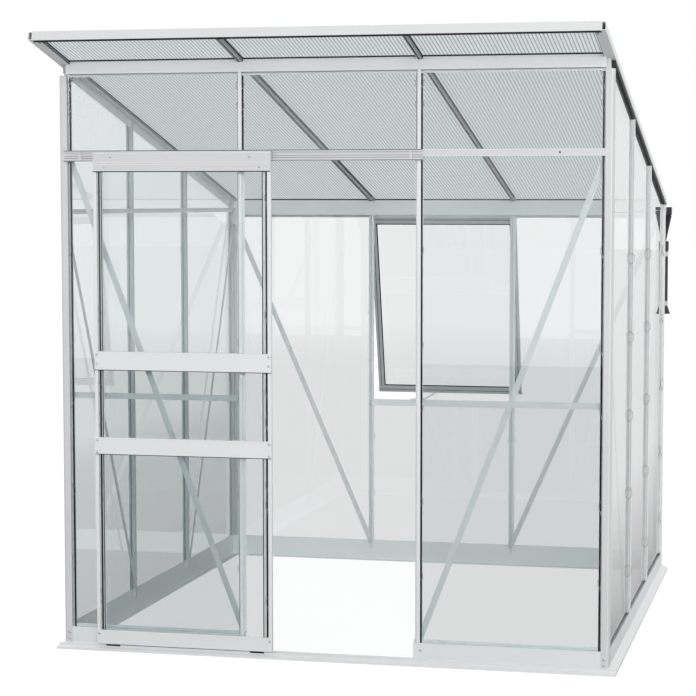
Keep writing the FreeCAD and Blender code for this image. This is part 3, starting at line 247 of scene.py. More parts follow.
def mouldedSurface(name):
    material, tree = newMaterial(name)
    look = moulded[name]
    texture = stretchedNoise(tree, look["grain"], look["grain"], "Z", moulded["detail"])
    bump = addNode(tree, "ShaderNodeBump", {"Strength": moulded["strength"], "Distance": look["depth"]},
                   {"Height": texture.outputs["Fac"]})
    shader = addNode(tree, "ShaderNodeBsdfPrincipled", {"IOR": moulded["ior"]}, {
        **toneAndShine(tree, look, texture.outputs["Fac"], texture.outputs["Fac"]),
        "Normal": bump.outputs["Normal"]})
    addNode(tree, "ShaderNodeOutputMaterial", links={"Surface": shader.outputs["BSDF"]})
    return material


uprightAluminium = anodisedAluminium("anodisedAluminiumUpright", "Z")
crossAluminium = anodisedAluminium("anodisedAluminiumCrosswise", "X")
slopeAluminium = anodisedAluminium("anodisedAluminiumDownSlope", "Y")
# painted shade: the fascia, covers and upper front stand in the open, where the same metal would look nearly
# white, so they get a darker copy of its tones
paintedShadeOpenTones = ("paintedShadeOpenLight", "paintedShadeOpenDark")
paintedShadeOpenAluminium = anodisedAluminium("anodisedAluminiumFasciaPaintedShade", "X", paintedShadeOpenTones)
paintedShadeCoverAluminium = anodisedAluminium("anodisedAluminiumCoversPaintedShade", "Z", paintedShadeOpenTones)
# painted shade: the left wall's bars, three of the posts, the vent and the rafters, seen inside the house, get
# the darkest copy of the metal's tones, the braces a copy in between
paintedShadeIndoorTones = ("paintedShadeIndoorLight", "paintedShadeIndoorDark")
paintedShadeSideAluminium = anodisedAluminium("anodisedAluminiumSideBarsPaintedShade", "Z", paintedShadeIndoorTones)
paintedShadeBraceAluminium = anodisedAluminium("anodisedAluminiumBracesPaintedShade", "Z", paintedShadeOpenTones)
paintedShadeRafterAluminium = anodisedAluminium("anodisedAluminiumRaftersPaintedShade", "Y", paintedShadeIndoorTones)
paintedShadeVentAluminium = anodisedAluminium("anodisedAluminiumVentPaintedShade", "X", paintedShadeIndoorTones)
steel = zincPlatedSteel()
wire = stainlessWire()
clearGlass = floatGlass()
# both sheets carry the painted shade of their inner walls as lines
polycarbonate = twinWallPolycarbonate("twinWallPolycarbonate", sheetPlastic["wallPaintedShade"],
                                      sheetPlastic["milky"], "ShaderNodeBsdfTranslucent")
upperPolycarbonate = twinWallPolycarbonate("polycarbonateUpperSkin", sheetPlastic["upperWallPaintedShade"],
                                           sheetPlastic["clear"], "ShaderNodeBsdfTransparent")
rubber = mouldedSurface("extrudedRubber")
blackPlastic = mouldedSurface("mouldedPolypropylene")
nylon = mouldedSurface("mouldedNylon")

finishOf = {
    "front_glass": clearGlass, "glass_left": clearGlass, "glass_right": clearGlass, "glass_back": clearGlass,
    "door_glass": clearGlass, "vent_glass": clearGlass,
    "glazing_seals": rubber, "door_seals": rubber, "vent_seals": rubber,
    "gutter_outlet": blackPlastic, "downpipe": blackPlastic, "door_guides": blackPlastic,
    "door_wheel_left": nylon, "door_wheel_right": nylon,
    "door_wheel_pins": steel, "vent_stay": steel, "vent_stay_bracket": steel, "gussets": steel,
    # the fascia, track, cross bars, top rail, covers, stops and braces get a copy of the metal darkened as
    # painted shade
    "downpipe_clips": steel, "roof_fascia": paintedShadeOpenAluminium, "door_track": paintedShadeOpenAluminium,
    "front_cross_bars": paintedShadeOpenAluminium, "door_top_rail": paintedShadeOpenAluminium, "corner_covers_front": paintedShadeCoverAluminium,
    "door_stops": paintedShadeOpenAluminium,
    # the left wall's bars, three posts, the rafters and the vent frame get the darkest copy of the metal, as
    # painted shade
    "side_bars_left": paintedShadeSideAluminium, "corner_post_front_left": paintedShadeSideAluminium,
    "corner_post_back_left": paintedShadeSideAluminium, "corner_post_back_right": paintedShadeSideAluminium, "rafters": paintedShadeRafterAluminium,
    "braces": paintedShadeBraceAluminium, "vent_frame": paintedShadeVentAluminium,
}
crosswise = (
    "base_front_left", "base_front_right", "base_back", "door_threshold", "front_top_plate",
    "door_cross_rails", "back_eave_rail", "gutter", "vent_hinge_rail", "vent_sill_rail",
)
downSlope = (
    "base_left", "base_right", "side_eave_rail_left", "side_eave_rail_right", "side_top_rail_left",
    "side_top_rail_right", "roof_edge_bar_left", "roof_edge_bar_right",
)
for name, node in nodes.items():
    finish = finishOf.get(name, uprightAluminium)
    if name in crosswise:
        finish = crossAluminium
    if name in downSlope:
        finish = slopeAluminium
    node.data.materials.clear()
    node.data.materials.append(finish)
print("finishes laid on")


# makes one plain mesh piece from a node tree's result
def pieceFromTree(name, tree, values, body, places=()):
    seed = bpy.data.meshes.new(name + "Host")
    seed.from_pydata([place for place, turn, size in places], [], [])
    if places:
        for label, index in (("turn", 1), ("size", 2)):
            layer = seed.attributes.new(label, "FLOAT_VECTOR", "POINT")
            layer.data.foreach_set("vector", [number for item in places for number in item[index]])
    host = bpy.data.objects.new(name + "Host", seed)
    bpy.context.scene.collection.objects.link(host)
    modifier = host.modifiers.new("build", "NODES")
    modifier.node_group = tree
    for item in tree.interface.items_tree:
        if item.item_type == "SOCKET" and item.in_out == "INPUT" and item.name in values:
            modifier[item.identifier] = values[item.name]
    graph = bpy.context.evaluated_depsgraph_get()
    mesh = bpy.data.meshes.new_from_object(host.evaluated_get(graph))
    bpy.data.objects.remove(host)
    piece = bpy.data.objects.new(name, mesh)
    mesh.name = name
    bpy.context.scene.collection.objects.link(piece)
    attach(piece, body)
    return piece


def newTree(name, inputs):
    tree = bpy.data.node_groups.new(name, "GeometryNodeTree")
    for label, kind, value in inputs:
        socket = tree.interface.new_socket(name=label, in_out="INPUT", socket_type=kind)
        if value is not None:
            socket.default_value = value
    tree.interface.new_socket(name="Geometry", in_out="OUTPUT", socket_type="NodeSocketGeometry")
    return tree, addNode(tree, "NodeGroupInput"), addNode(tree, "NodeGroupOutput")


# Roof sheets: two thin skins and upright ribs between them, running down the slope
sheet = {
    "ribPitch": sheetPlastic["wallPitch"], "thickness": 0.010, "skin": 0.0008, "air": 0.00005, "fall": 0.235,
}


def twinWallTree():
    tree, given, result = newTree("twinWallSheet", [
        ("Width", "NodeSocketFloat", 0.7), ("Length", "NodeSocketFloat", 2.8),
        ("Rib Pitch", "NodeSocketFloat", sheet["ribPitch"]),
        ("Thickness", "NodeSocketFloat", sheet["thickness"]),
        ("Skin", "NodeSocketFloat", sheet["skin"]), ("Air", "NodeSocketFloat", sheet["air"]),
        ("First Rib", "NodeSocketFloat", 0.0), ("Rib Count", "NodeSocketInt", 60),
        ("Centre", "NodeSocketVector", None), ("Turn", "NodeSocketVector", None),
        ("Finish", "NodeSocketMaterial", None), ("Upper Finish", "NodeSocketMaterial", None)])
    out = given.outputs
    skinSize = addNode(tree, "ShaderNodeCombineXYZ", links={
        "X": out["Width"], "Y": out["Length"], "Z": out["Skin"]})
    skin = addNode(tree, "GeometryNodeMeshCube", links={"Size": skinSize.outputs["Vector"]})
    apart = addNode(tree, "ShaderNodeMath", {"operation": "SUBTRACT"}, {0: out["Thickness"], 1: out["Skin"]})
    lift = addNode(tree, "ShaderNodeMath", {"operation": "MULTIPLY", 1: 0.5}, {0: apart.outputs[0]})
    both = []
    for side, finish in ((1.0, "Upper Finish"), (-1.0, "Finish")):
        height = addNode(tree, "ShaderNodeMath", {"operation": "MULTIPLY", 1: side}, {0: lift.outputs[0]})
        up = addNode(tree, "ShaderNodeCombineXYZ", links={"Z": height.outputs[0]})
        moved = addNode(tree, "GeometryNodeTransform", links={
            "Geometry": skin.outputs["Mesh"], "Translation": up.outputs["Vector"]})
        both.append(addNode(tree, "GeometryNodeSetMaterial", links={
            "Geometry": moved.outputs["Geometry"], "Material": out[finish]}))
    start = addNode(tree, "ShaderNodeCombineXYZ", links={"X": out["First Rib"]})
    step = addNode(tree, "ShaderNodeCombineXYZ", links={"X": out["Rib Pitch"]})
    line = addNode(tree, "GeometryNodeMeshLine", {"mode": "OFFSET"}, {
        "Count": out["Rib Count"], "Start Location": start.outputs["Vector"],
        "Offset": step.outputs["Vector"]})
    # the ribs stop short of the skins and of the ends by a hair of air
    skins = addNode(tree, "ShaderNodeMath", {"operation": "MULTIPLY", 1: 2.0}, {0: out["Skin"]})
    gaps = addNode(tree, "ShaderNodeMath", {"operation": "MULTIPLY", 1: 2.0}, {0: out["Air"]})
    inner = addNode(tree, "ShaderNodeMath", {"operation": "SUBTRACT"}, {
        0: out["Thickness"], 1: skins.outputs[0]})
    hollow = addNode(tree, "ShaderNodeMath", {"operation": "SUBTRACT"}, {
        0: inner.outputs[0], 1: gaps.outputs[0]})
    shorter = addNode(tree, "ShaderNodeMath", {"operation": "SUBTRACT"}, {
        0: out["Length"], 1: gaps.outputs[0]})
    ribSize = addNode(tree, "ShaderNodeCombineXYZ", links={
        "X": out["Skin"], "Y": shorter.outputs[0], "Z": hollow.outputs[0]})
    rib = addNode(tree, "GeometryNodeMeshCube", links={"Size": ribSize.outputs["Vector"]})
    ribs = addNode(tree, "GeometryNodeInstanceOnPoints", links={
        "Points": line.outputs["Mesh"], "Instance": rib.outputs["Mesh"]})
    realRibs = addNode(tree, "GeometryNodeRealizeInstances", links={"Geometry": ribs.outputs["Instances"]})
    paintedRibs = addNode(tree, "GeometryNodeSetMaterial", links={
        "Geometry": realRibs.outputs["Geometry"], "Material": out["Upper Finish"]})
    join = addNode(tree, "GeometryNodeJoinGeometry")
    for part in (paintedRibs, both[0], both[1]):
        tree.links.new(part.outputs["Geometry"], join.inputs["Geometry"])
    placed = addNode(tree, "GeometryNodeTransform", links={
        "Geometry": join.outputs["Geometry"], "Translation": out["Centre"], "Rotation": out["Turn"]})
    tree.links.new(placed.outputs["Geometry"], result.inputs["Geometry"])
    return tree


sheetTree = twinWallTree()
slope = math.atan(sheet["fall"])
for name in ("left", "middle", "right"):
    low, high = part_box("roof_sheet_" + name)
    # the box of a leaning sheet gives its length, less what its thickness adds at the ends
    length = (high.y - low.y - sheet["thickness"] * math.sin(slope)) / math.cos(slope)
    # the ribs stand at whole steps from the middle of the roof, so they line up with the painted shade lines of
    # the walls
    firstRib = math.ceil((low.x + sheet["skin"]) / sheet["ribPitch"])
    lastRib = math.floor((high.x - sheet["skin"]) / sheet["ribPitch"])
    middle = (low.x + high.x) / 2
    pieceFromTree("twinWallSheet" + name.title(), sheetTree, {
        "Width": high.x - low.x, "Length": length, "Rib Pitch": sheet["ribPitch"],
        "First Rib": firstRib * sheet["ribPitch"] - middle, "Rib Count": lastRib - firstRib + 1,
        "Thickness": sheet["thickness"], "Skin": sheet["skin"], "Air": sheet["air"],
        "Centre": (low + high) / 2, "Turn": (-slope, 0.0, 0.0), "Finish": polycarbonate,
        "Upper Finish": upperPolycarbonate,
    }, "frame")
    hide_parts("roof_sheet_" + name)
print("roof sheets made")


# Copies of one small shape, laid on points that carry their own turn and size
def copiesTree():
    tree, given, result = newTree("copiesOnPoints", [
        ("Places", "NodeSocketGeometry", None), ("Shape", "NodeSocketObject", None),
        ("Finish", "NodeSocketMaterial", None)])
    shape = addNode(tree, "GeometryNodeObjectInfo", links={"Object": given.outputs["Shape"]})
    turn = addNode(tree, "GeometryNodeInputNamedAttribute", {"data_type": "FLOAT_VECTOR", "Name": "turn"})
    size = addNode(tree, "GeometryNodeInputNamedAttribute", {"data_type": "FLOAT_VECTOR", "Name": "size"})
    laid = addNode(tree, "GeometryNodeInstanceOnPoints", links={
        "Points": given.outputs["Places"], "Instance": shape.outputs["Geometry"],
        "Rotation": turn.outputs["Attribute"], "Scale": size.outputs["Attribute"]})
    real = addNode(tree, "GeometryNodeRealizeInstances", links={"Geometry": laid.outputs["Instances"]})
    painted = addNode(tree, "GeometryNodeSetMaterial", links={
        "Geometry": real.outputs["Geometry"], "Material": given.outputs["Finish"]})
    tree.links.new(painted.outputs["Geometry"], result.inputs["Geometry"])
    return tree


copies = copiesTree()


# One wire, bent through the given points and closed at both ends
def bentWire(name, paths, radius):
    data = bpy.data.curves.new(name, "CURVE")
    data.dimensions = "3D"
    data.bevel_depth = radius
    data.bevel_resolution = 1
    data.use_fill_caps = True
    data.resolution_u = 2
    for path in paths:
        spline = data.splines.new("POLY")
        spline.points.add(len(path) - 1)
        for point, place in zip(spline.points, path):
            point.co = (*place, 1.0)
    item = bpy.data.objects.new(name, data)
    bpy.context.scene.collection.objects.link(item)
    return item


# A turned shape: rings of the same number of points, from (radius, height) pairs
def turnedShape(name, profile, sides):
    points, faces = [], []
    for radius, height in profile:
        for i in range(sides):
            angle = 2 * math.pi * i / sides
            points.append((radius * math.cos(angle), -height, radius * math.sin(angle)))
    for ring in range(len(profile) - 1):
        for i in range(sides):
            a = ring * sides + i
            b = ring * sides + (i + 1) % sides
            faces.append((a, a + sides, b + sides, b))
    faces.append(tuple(range(sides)))
    faces.append(tuple(range((len(profile) - 1) * sides, len(profile) * sides))[::-1])
    mesh = bpy.data.meshes.new(name)
    mesh.from_pydata(points, [], faces)
    solid = bmesh.new()
    solid.from_mesh(mesh)
    bmesh.ops.recalc_face_normals(solid, faces=solid.faces)
    solid.to_mesh(mesh)
    solid.free()
    item = bpy.data.objects.new(name, mesh)
    bpy.context.scene.collection.objects.link(item)
    return item


# The four walls' glazing planes in the drawing's millimetres: where t starts, and the turn to face outwards
shift = Vector((-1117.5, -1149.426, 0.0))  # from the drawing's corner to the middle of the floor
walls = {
    "front": (Vector((0, 0, 0)), 0.0), "back": (Vector((2235, 2387, 0)), math.pi),
    "right": (Vector((2251, 16, 0)), math.pi / 2), "left": (Vector((-16, 2371, 0)), -math.pi / 2),
}
bayWidth = 745.0
bayDepth = 785.0
plainSize = (1.0, 1.0, 1.0)


# a place on a wall: t along it seen from outside, u outwards, z up; a shape may be turned half round an axis
def onWall(wall, t, u, z, turnedAbout=None, size=plainSize):
    origin, turn = walls[wall]
    facing = Matrix.Rotation(turn, 3, "Z")
    place = (origin + facing @ Vector((t, -u, z)) + shift) / 1000
    if turnedAbout:
        facing = facing @ Matrix.Rotation(math.pi, 3, turnedAbout)
    return tuple(place), tuple(facing.to_euler()), size


# Spring wire clips: one end under the bar's nose, the bent middle on the glass
clip = {
    "wire": 0.0011,
    "path": [(4, 12.3, -30), (7.5, 11.8, -24), (5, 12.3, -17), (17, 6.6, -11), (17, 6.6, 11), (5, 12.3, 17),
             (7.5, 11.8, 24), (4, 12.3, 30)],
    "doorPath": [(0.5, 6.5, -30), (4, 6, -24), (1, 6.5, -17), (12, 2.2, -11), (12, 2.2, 11), (1, 6.5, 17),
                 (4, 6, 24), (0.5, 6.5, 30)],
    "crossed": [(-18, 6.4, -26), (-9, 19.4, -13), (9, 19.4, 13), (18, 6.4, 26)],
    "levels": {
        "front": (366, 672, 1053, 1305, 1689, 2269, 2355), "back": (356, 653, 1053, 1305, 1689),
        "side": (280, 620, 960, 1300, 1640), "door": (234, 640, 723, 979, 1110, 1421, 1897)},
    "unglazed": {"front": (0, 2060), "back": (800, 2000)},  # heights of the doorway and of the vent
    "doorStiles": (137, 867), "doorPane": 36,
}


def wirePath(points, mirrored=False):
    return [((-t if mirrored else t) / 1000, -u / 1000, z / 1000) for t, u, z in points]


frontClip = bentWire("frontClipWire", [wirePath(clip["path"])], clip["wire"])
doorClip = bentWire("doorClipWire", [wirePath(clip["doorPath"])], clip["wire"])
crossClip = bentWire(
    "crossClipWire", [wirePath(clip["crossed"]), wirePath(clip["crossed"], True)], clip["wire"])

places = []
for wall, (low, high) in clip["unglazed"].items():
    for post in range(4):
        for level in clip["levels"][wall]:
            for turned in (None, "Y"):
                # no clip on the outer side of a corner, nor beside the doorway or the vent of the middle bay
                outside = (post == 0 and turned) or (post == 3 and not turned)
                inOpening = low < level < high and ((post == 1 and not turned) or (post == 2 and turned))
                if not outside and not inOpening:
                    places.append(onWall(wall, post * bayWidth, 0, level, turned))
for wall in ("left", "right"):
    for level in clip["levels"]["side"]:
        places.append(onWall(wall, 0, 0, level))
        places.append(onWall(wall, 3 * bayDepth, 0, level, "Y"))
pieceFromTree("springClips", copies, {"Shape": frontClip, "Finish": wire}, "frame", places)

places = [onWall(wall, post * bayDepth, 0, level) for wall in ("left", "right") for post in (1, 2)
          for level in clip["levels"]["side"]]
pieceFromTree("crossedClips", copies, {"Shape": crossClip, "Finish": wire}, "frame", places)

places = []
for level in clip["levels"]["door"]:
    for t, turned in zip(clip["doorStiles"], (None, "Y")):
        places.append(onWall("front", t, clip["doorPane"], level, turned))
pieceFromTree("doorClips", copies, {"Shape": doorClip, "Finish": wire}, "door", places)
print("clips made")


# Round screw heads, and nuts on the ends of their bolts
fixing = {
    "head": [(0.0052, 0.0), (0.0052, 0.0007), (0.0046, 0.0019), (0.0030, 0.0026)],
    "nut": [(0.0058, 0.0), (0.0058, 0.0042), (0.0052, 0.0050), (0.0030, 0.0050), (0.0030, 0.0085),
            (0.0024, 0.0092)],
    "sides": 12,
    # wall, along, out and up
    "frameHeads": [
        ("front", -11, 18, 69), ("front", -11, 18, 44), ("front", 2246, 18, 62), ("front", 2246, 18, 37),
        ("front", 1500, 16, 64), ("right", 15, 16, 63), ("right", 15, 16, 38), ("right", 2340, 16, 64),
        ("right", 2340, 16, 38), ("left", 15, 16, 64), ("left", 15, 16, 38), ("left", 2340, 16, 63),
        ("left", 2340, 16, 38), ("back", -11, 18, 69), ("back", -11, 18, 44), ("back", 2246, 18, 69),
        ("back", 2246, 18, 44)],
    # along and up on the door, whose face stands 46 mm out
    "doorHeads": [
        (171, 2024), (198, 2066), (835, 2024), (793, 2066), (873, 1250), (873, 1212), (873, 892), (873, 842),
        (873, 76), (131, 1250), (131, 1212), (131, 892), (131, 842), (131, 76)],
    "doorFace": 46, "plug": ("front", 2056, 18, 2077), "plugSize": (0.8, 0.5, 0.8),
}
screwHead = turnedShape("screwHead", fixing["head"], fixing["sides"])
boltNut = turnedShape("boltNut", fixing["nut"], fixing["sides"])

heads = [onWall(*place) for place in fixing["frameHeads"]]
pieceFromTree("frameScrews", copies, {"Shape": screwHead, "Finish": steel}, "frame", heads)
# a dark plug fills a spare hole in the cross bar of the right bay
plug = [onWall(*fixing["plug"], None, fixing["plugSize"])]
pieceFromTree("holePlug", copies, {"Shape": screwHead, "Finish": blackPlastic},
              "frame", plug)
heads = [onWall("front", t, fixing["doorFace"], z) for t, z in fixing["doorHeads"]]
pieceFromTree("doorScrews", copies, {"Shape": screwHead, "Finish": steel}, "door", heads)

# Nuts on the inner side of the bars, turned to face inwards: at the ends of the braces, where the vent's
# sill rail meets the bars and along the flat bars at middle height
nutPlaces = {
    "fromPost": 3, "depth": -16, "foot": 100, "sillRail": (828, 843), "barDepth": -18, "barHeight": 1072,
    "barEnds": 7,
    # wall, bay and the heights of the two braces' tops
    "braces": [("front", bayWidth, (2055.0, 2055.0)), ("back", bayWidth, (1800.0, 1800.0)),
               ("left", bayDepth, (1765.0, 1704.0)), ("right", bayDepth, (1704.0, 1765.0))],
}
nuts = []
for wall, pitch, tops in nutPlaces["braces"]:
    length = 3 * pitch
    nuts.append(onWall(wall, nutPlaces["fromPost"], nutPlaces["depth"], tops[0], "Z"))
    nuts.append(onWall(wall, length - nutPlaces["fromPost"], nutPlaces["depth"], tops[1], "Z"))
    for t in (pitch, length - pitch):
        nuts.append(onWall(wall, t, nutPlaces["depth"], nutPlaces["foot"], "Z"))
for t in (bayWidth, 2 * bayWidth):
    for z in nutPlaces["sillRail"]:
        nuts.append(onWall("back", t, nutPlaces["depth"], z, "Z"))
for t in (-nutPlaces["barEnds"], bayWidth, 2 * bayWidth, 3 * bayWidth + nutPlaces["barEnds"]):
    nuts.append(onWall("front", t, nutPlaces["barDepth"], nutPlaces["barHeight"], "Z"))
pieceFromTree("boltNuts", copies, {"Shape": boltNut, "Finish": steel}, "frame", nuts)
print("screws and nuts made")


# Drawn ridges that the dies leave along the rails: long flat strips, a fraction of a millimetre proud
ridge = {
    "proud": 0.8, "doorProud": 0.7,
    # from, to, out, heights and width: under the canopy, on the cross bars and on the two base rails
    "frame": [(2, 2233, 18, (2409, 2424), 2.4), (2, 2233, 18, (2064.5, 2089), 1.6),
              (20, 752, 16, (34, 90), 2.4), (1472, 2220, 16, (34, 90), 2.4)],
    # the same on the door's four rails
    "door": [(122, 882, 46, (2010, 2034, 2043, 2080, 1187, 1258, 835, 899, 35, 86), 1.8)],
}


def unitBar():
    mesh = bpy.data.meshes.new("unitBar")
    solid = bmesh.new()
    bmesh.ops.create_cube(solid, size=1.0)
    solid.to_mesh(mesh)
    solid.free()
    item = bpy.data.objects.new("unitBar", mesh)
    bpy.context.scene.collection.objects.link(item)
    return item


longBar = unitBar()


# a strip from t0 to t1 at height z on the outward face at depth u
def strip(wall, t0, t1, u, z, width, proud):
    size = ((t1 - t0) / 1000, proud / 1000, width / 1000)
    return onWall(wall, (t0 + t1) / 2, u + proud / 2, z, None, size)


# the same, standing upright
def upStrip(wall, z0, z1, u, t, width, proud):
    size = (width / 1000, proud / 1000, (z1 - z0) / 1000)
    return onWall(wall, t, u + proud / 2, (z0 + z1) / 2, None, size)


ridges = [strip("front", start, end, u, z, width, ridge["proud"])
          for start, end, u, heights, width in ridge["frame"] for z in heights]
pieceFromTree("frameRidges", copies, {"Shape": longBar, "Finish": crossAluminium},
              "frame", ridges)
ridges = [strip("front", start, end, u, z, width, ridge["doorProud"])
          for start, end, u, heights, width in ridge["door"] for z in heights]
pieceFromTree("doorRidges", copies, {"Shape": longBar, "Finish": crossAluminium},
              "door", ridges)
print("ridges made")


# Rubber lips beside the glass of the door: above each pane and up its two sides
lip = {
    "width": 3.6, "proud": 0.6, "stileFace": 44, "railFace": 46, "start": 122, "end": 882, "offGlass": 2.0,
    "panes": ((90, 831), (903, 1183), (1262, 2003)), "paneSides": (159, 845),
}
darkStrips = []
for low, high in reversed(lip["panes"]):
    darkStrips.append(strip("front", lip["start"], lip["end"], lip["railFace"], high + lip["offGlass"],
                      lip["width"], lip["proud"]))
left, right = lip["paneSides"]
for low, high in lip["panes"]:
    for t in (left - lip["offGlass"], right + lip["offGlass"]):
        darkStrips.append(upStrip("front", low, high, lip["stileFace"], t, lip["width"], lip["proud"]))
pieceFromTree("doorLips", copies, {"Shape": longBar, "Finish": rubber}, "door", darkStrips)

# Brush seals along both edges of the track, dark also as painted shadow of the gaps beside the door, and two
# fine strips on its back, behind the wheels, which are painted shadow in its grooves
track = {
    "start": -12, "end": 1506,
    # out, up, width and proud
    "strips": [(28, 2090.4, 2.4, 0.6), (28, 2049.6, 2.0, 0.6),
               # painted shadow in the track's two grooves
               (20, 2069.0, 1.3, 0.2), (20, 2060.4, 1.3, 0.2)],
}
darkStrips = [strip("front", track["start"], track["end"], *place) for place in track["strips"]]

# Under the roof: bars from start to end down its slope, and what sits on them. Places are in millimetres
# and sizes in metres
roof = {
    "front": 2443, "start": -351.0, "end": 2405.0, "lipAt": 12.4, "lipHeight": 15.4, "lipSize": (0.005, 0.0012),
    # the strip under the fascia is a painted shadow
    "fasciaShadowStrip": (-2.3, -340.3), "fasciaShadowSize": (2.268, 0.021, 0.0006),
    "bolts": [(1, 741), (1, 1767), (2, 734), (2, 1368)],  # the bar, and how far behind the front
    "slot": (-0.4, -303.0), "slotSize": (0.009, 0.018, 0.0008),
}


# a place on the roof: t across, v above the roof's underside and w down its slope
def onRoof(t, v, w, size, turn=-slope):
    y = v * math.sin(slope) + w * math.cos(slope)
    up = roof["front"] + v * math.cos(slope) - w * math.sin(slope)
    return tuple((Vector((t, y, up)) + shift) / 1000), (turn, 0.0, 0.0), size


# rubber lips under the edges of the sheets, along the flanges of the roof's bars
middle = (roof["start"] + roof["end"]) / 2
lipWidth, lipDepth = roof["lipSize"]
size = (lipWidth, (roof["end"] - roof["start"]) / 1000, lipDepth)
for bay in range(3):
    for t in (bay * bayWidth + roof["lipAt"], (bay + 1) * bayWidth - roof["lipAt"]):
        darkStrips.append(onRoof(t, roof["lipHeight"], middle, size))
# and one broad strip under the fascia, a painted shadow of its underside, which shows as a dark line along the
# front
darkStrips.append(onRoof(1.5 * bayWidth, *roof["fasciaShadowStrip"], roof["fasciaShadowSize"]))
pieceFromTree("roofLips", copies, {"Shape": longBar, "Finish": rubber}, "frame", darkStrips)

# bolts under the rafters, and the plates that close the bars' slots at the canopy's front
bolts = [onRoof(post * bayWidth, 0.0, y / math.cos(slope), plainSize, math.pi / 2 - slope)
         for post, y in roof["bolts"]]
pieceFromTree("rafterBolts", copies, {"Shape": screwHead, "Finish": steel}, "frame", bolts)
slotDrop, slotAt = roof["slot"]
plates = [onRoof(post * bayWidth, slotDrop, slotAt / math.cos(slope), roof["slotSize"]) for post in range(4)]
pieceFromTree("slotPlates", copies, {"Shape": longBar, "Finish": steel}, "frame", plates)
print("roof lips made")


# The vent's rubber: lips on its pane, and a thin dark strip in the seam of each rail, which is painted shade in
# the seam. The two thicknesses and what the strip is short by are in metres, the rest in millimetres
vent = {
    "angle": math.radians(13.4), "axis": (2411.0, 1812.055), "left": 732.0, "right": 1503.0, "head": -9.0,
    "foot": -970.055, "rail": 35.0, "side": 30.0, "face": -5.0, "pane": -1.0, "seam": 15.0, "gap": 0.1,
    "lip": 6.0, "lipThick": 0.0016, "seamShade": 2.6, "seamShadeThick": 0.0006, "seamShadeShort": 0.004,
}


# a place on the vent: t across, b outwards and z up from its hinge, on the sash as it stands propped
def onVent(t, b, z, size):
    turn = vent["angle"]
    y = vent["axis"][0] + b * math.cos(turn) - z * math.sin(turn)
    up = vent["axis"][1] + b * math.sin(turn) + z * math.cos(turn)
    return tuple((Vector((t, y, up)) + shift) / 1000), (turn, 0.0, 0.0), size


ventWidth = vent["right"] - vent["left"]
ventMiddle = (vent["left"] + vent["right"]) / 2
ventHeight = vent["head"] - vent["foot"]
opening = (ventWidth - 2 * vent["side"]) / 1000
upright = (ventHeight - 2 * vent["rail"]) / 1000
half = vent["lip"] / 2 + vent["gap"]
wide = vent["lip"] / 1000
thin = vent["seamShade"] / 1000
lipThick, seamShadeThick = vent["lipThick"], vent["seamShadeThick"]
lipFace = vent["pane"] - lipThick * 500  # half of its thickness in millimetres
seamShadeFace = vent["face"] - seamShadeThick * 500
halfUp = (vent["foot"] + vent["head"]) / 2
darkStrips = []
for z in (vent["foot"] + vent["rail"] + half, vent["head"] - vent["rail"] - half):
    darkStrips.append(onVent(ventMiddle, lipFace, z, (opening, lipThick, wide)))
for t in (vent["left"] + vent["side"] + half, vent["right"] - vent["side"] - half):
    darkStrips.append(onVent(t, lipFace, halfUp, (wide, lipThick, upright)))
# the strips in the rails' seams are painted shade
seamShadeLength = ventWidth / 1000 - vent["seamShadeShort"]
for z in (vent["foot"] + vent["seam"], vent["head"] - vent["seam"]):
    darkStrips.append(onVent(ventMiddle, seamShadeFace, z, (seamShadeLength, seamShadeThick, thin)))
for t in (vent["left"] + vent["seam"], vent["right"] - vent["seam"]):
    darkStrips.append(onVent(t, seamShadeFace, halfUp, (thin, seamShadeThick, upright)))
pieceFromTree("ventLips", copies, {"Shape": longBar, "Finish": rubber}, "vent", darkStrips)
print("vent lips made")

# the shapes that were copied aren't pieces themselves
for item in (frontClip, doorClip, crossClip, screwHead, boltNut, longBar):
    bpy.data.objects.remove(item)


# Camera at the photograph's place; its framing is a long lens a little off centre
camera = {
    "place": (2.041, -9.29262, 1.8824), "azimuth": 12.6844, "elevation": 4.4466, "roll": 0.0374,
    "focalPixels": 2067.0, "imageSize": 696.0, "middle": (379.63, 362.41), "sensor": 36.0, "sight": 300.0,
}


def addCamera():
    data = bpy.data.cameras.new("viewpoint")
    data.sensor_width = camera["sensor"]
    data.lens = camera["focalPixels"] / camera["imageSize"] * camera["sensor"]
    data.shift_x = (camera["imageSize"] / 2 - camera["middle"][0]) / camera["imageSize"]
    data.shift_y = (camera["middle"][1] - camera["imageSize"] / 2) / camera["imageSize"]
    data.clip_end = camera["sight"]
    item = bpy.data.objects.new("viewpoint", data)
    around = math.radians(camera["azimuth"])
    above = math.radians(camera["elevation"])
    reach = math.cos(above)
    backward = Vector((math.sin(around) * reach, -math.cos(around) * reach, math.sin(above)))
    roll = Matrix.Rotation(math.radians(camera["roll"]), 3, "Z")
    turn = (-backward).to_track_quat("-Z", "Y").to_matrix() @ roll
    item.matrix_world = Matrix.Translation(Vector(camera["place"])) @ turn.to_4x4()
    bpy.context.scene.collection.objects.link(item)
    bpy.context.scene.camera = item


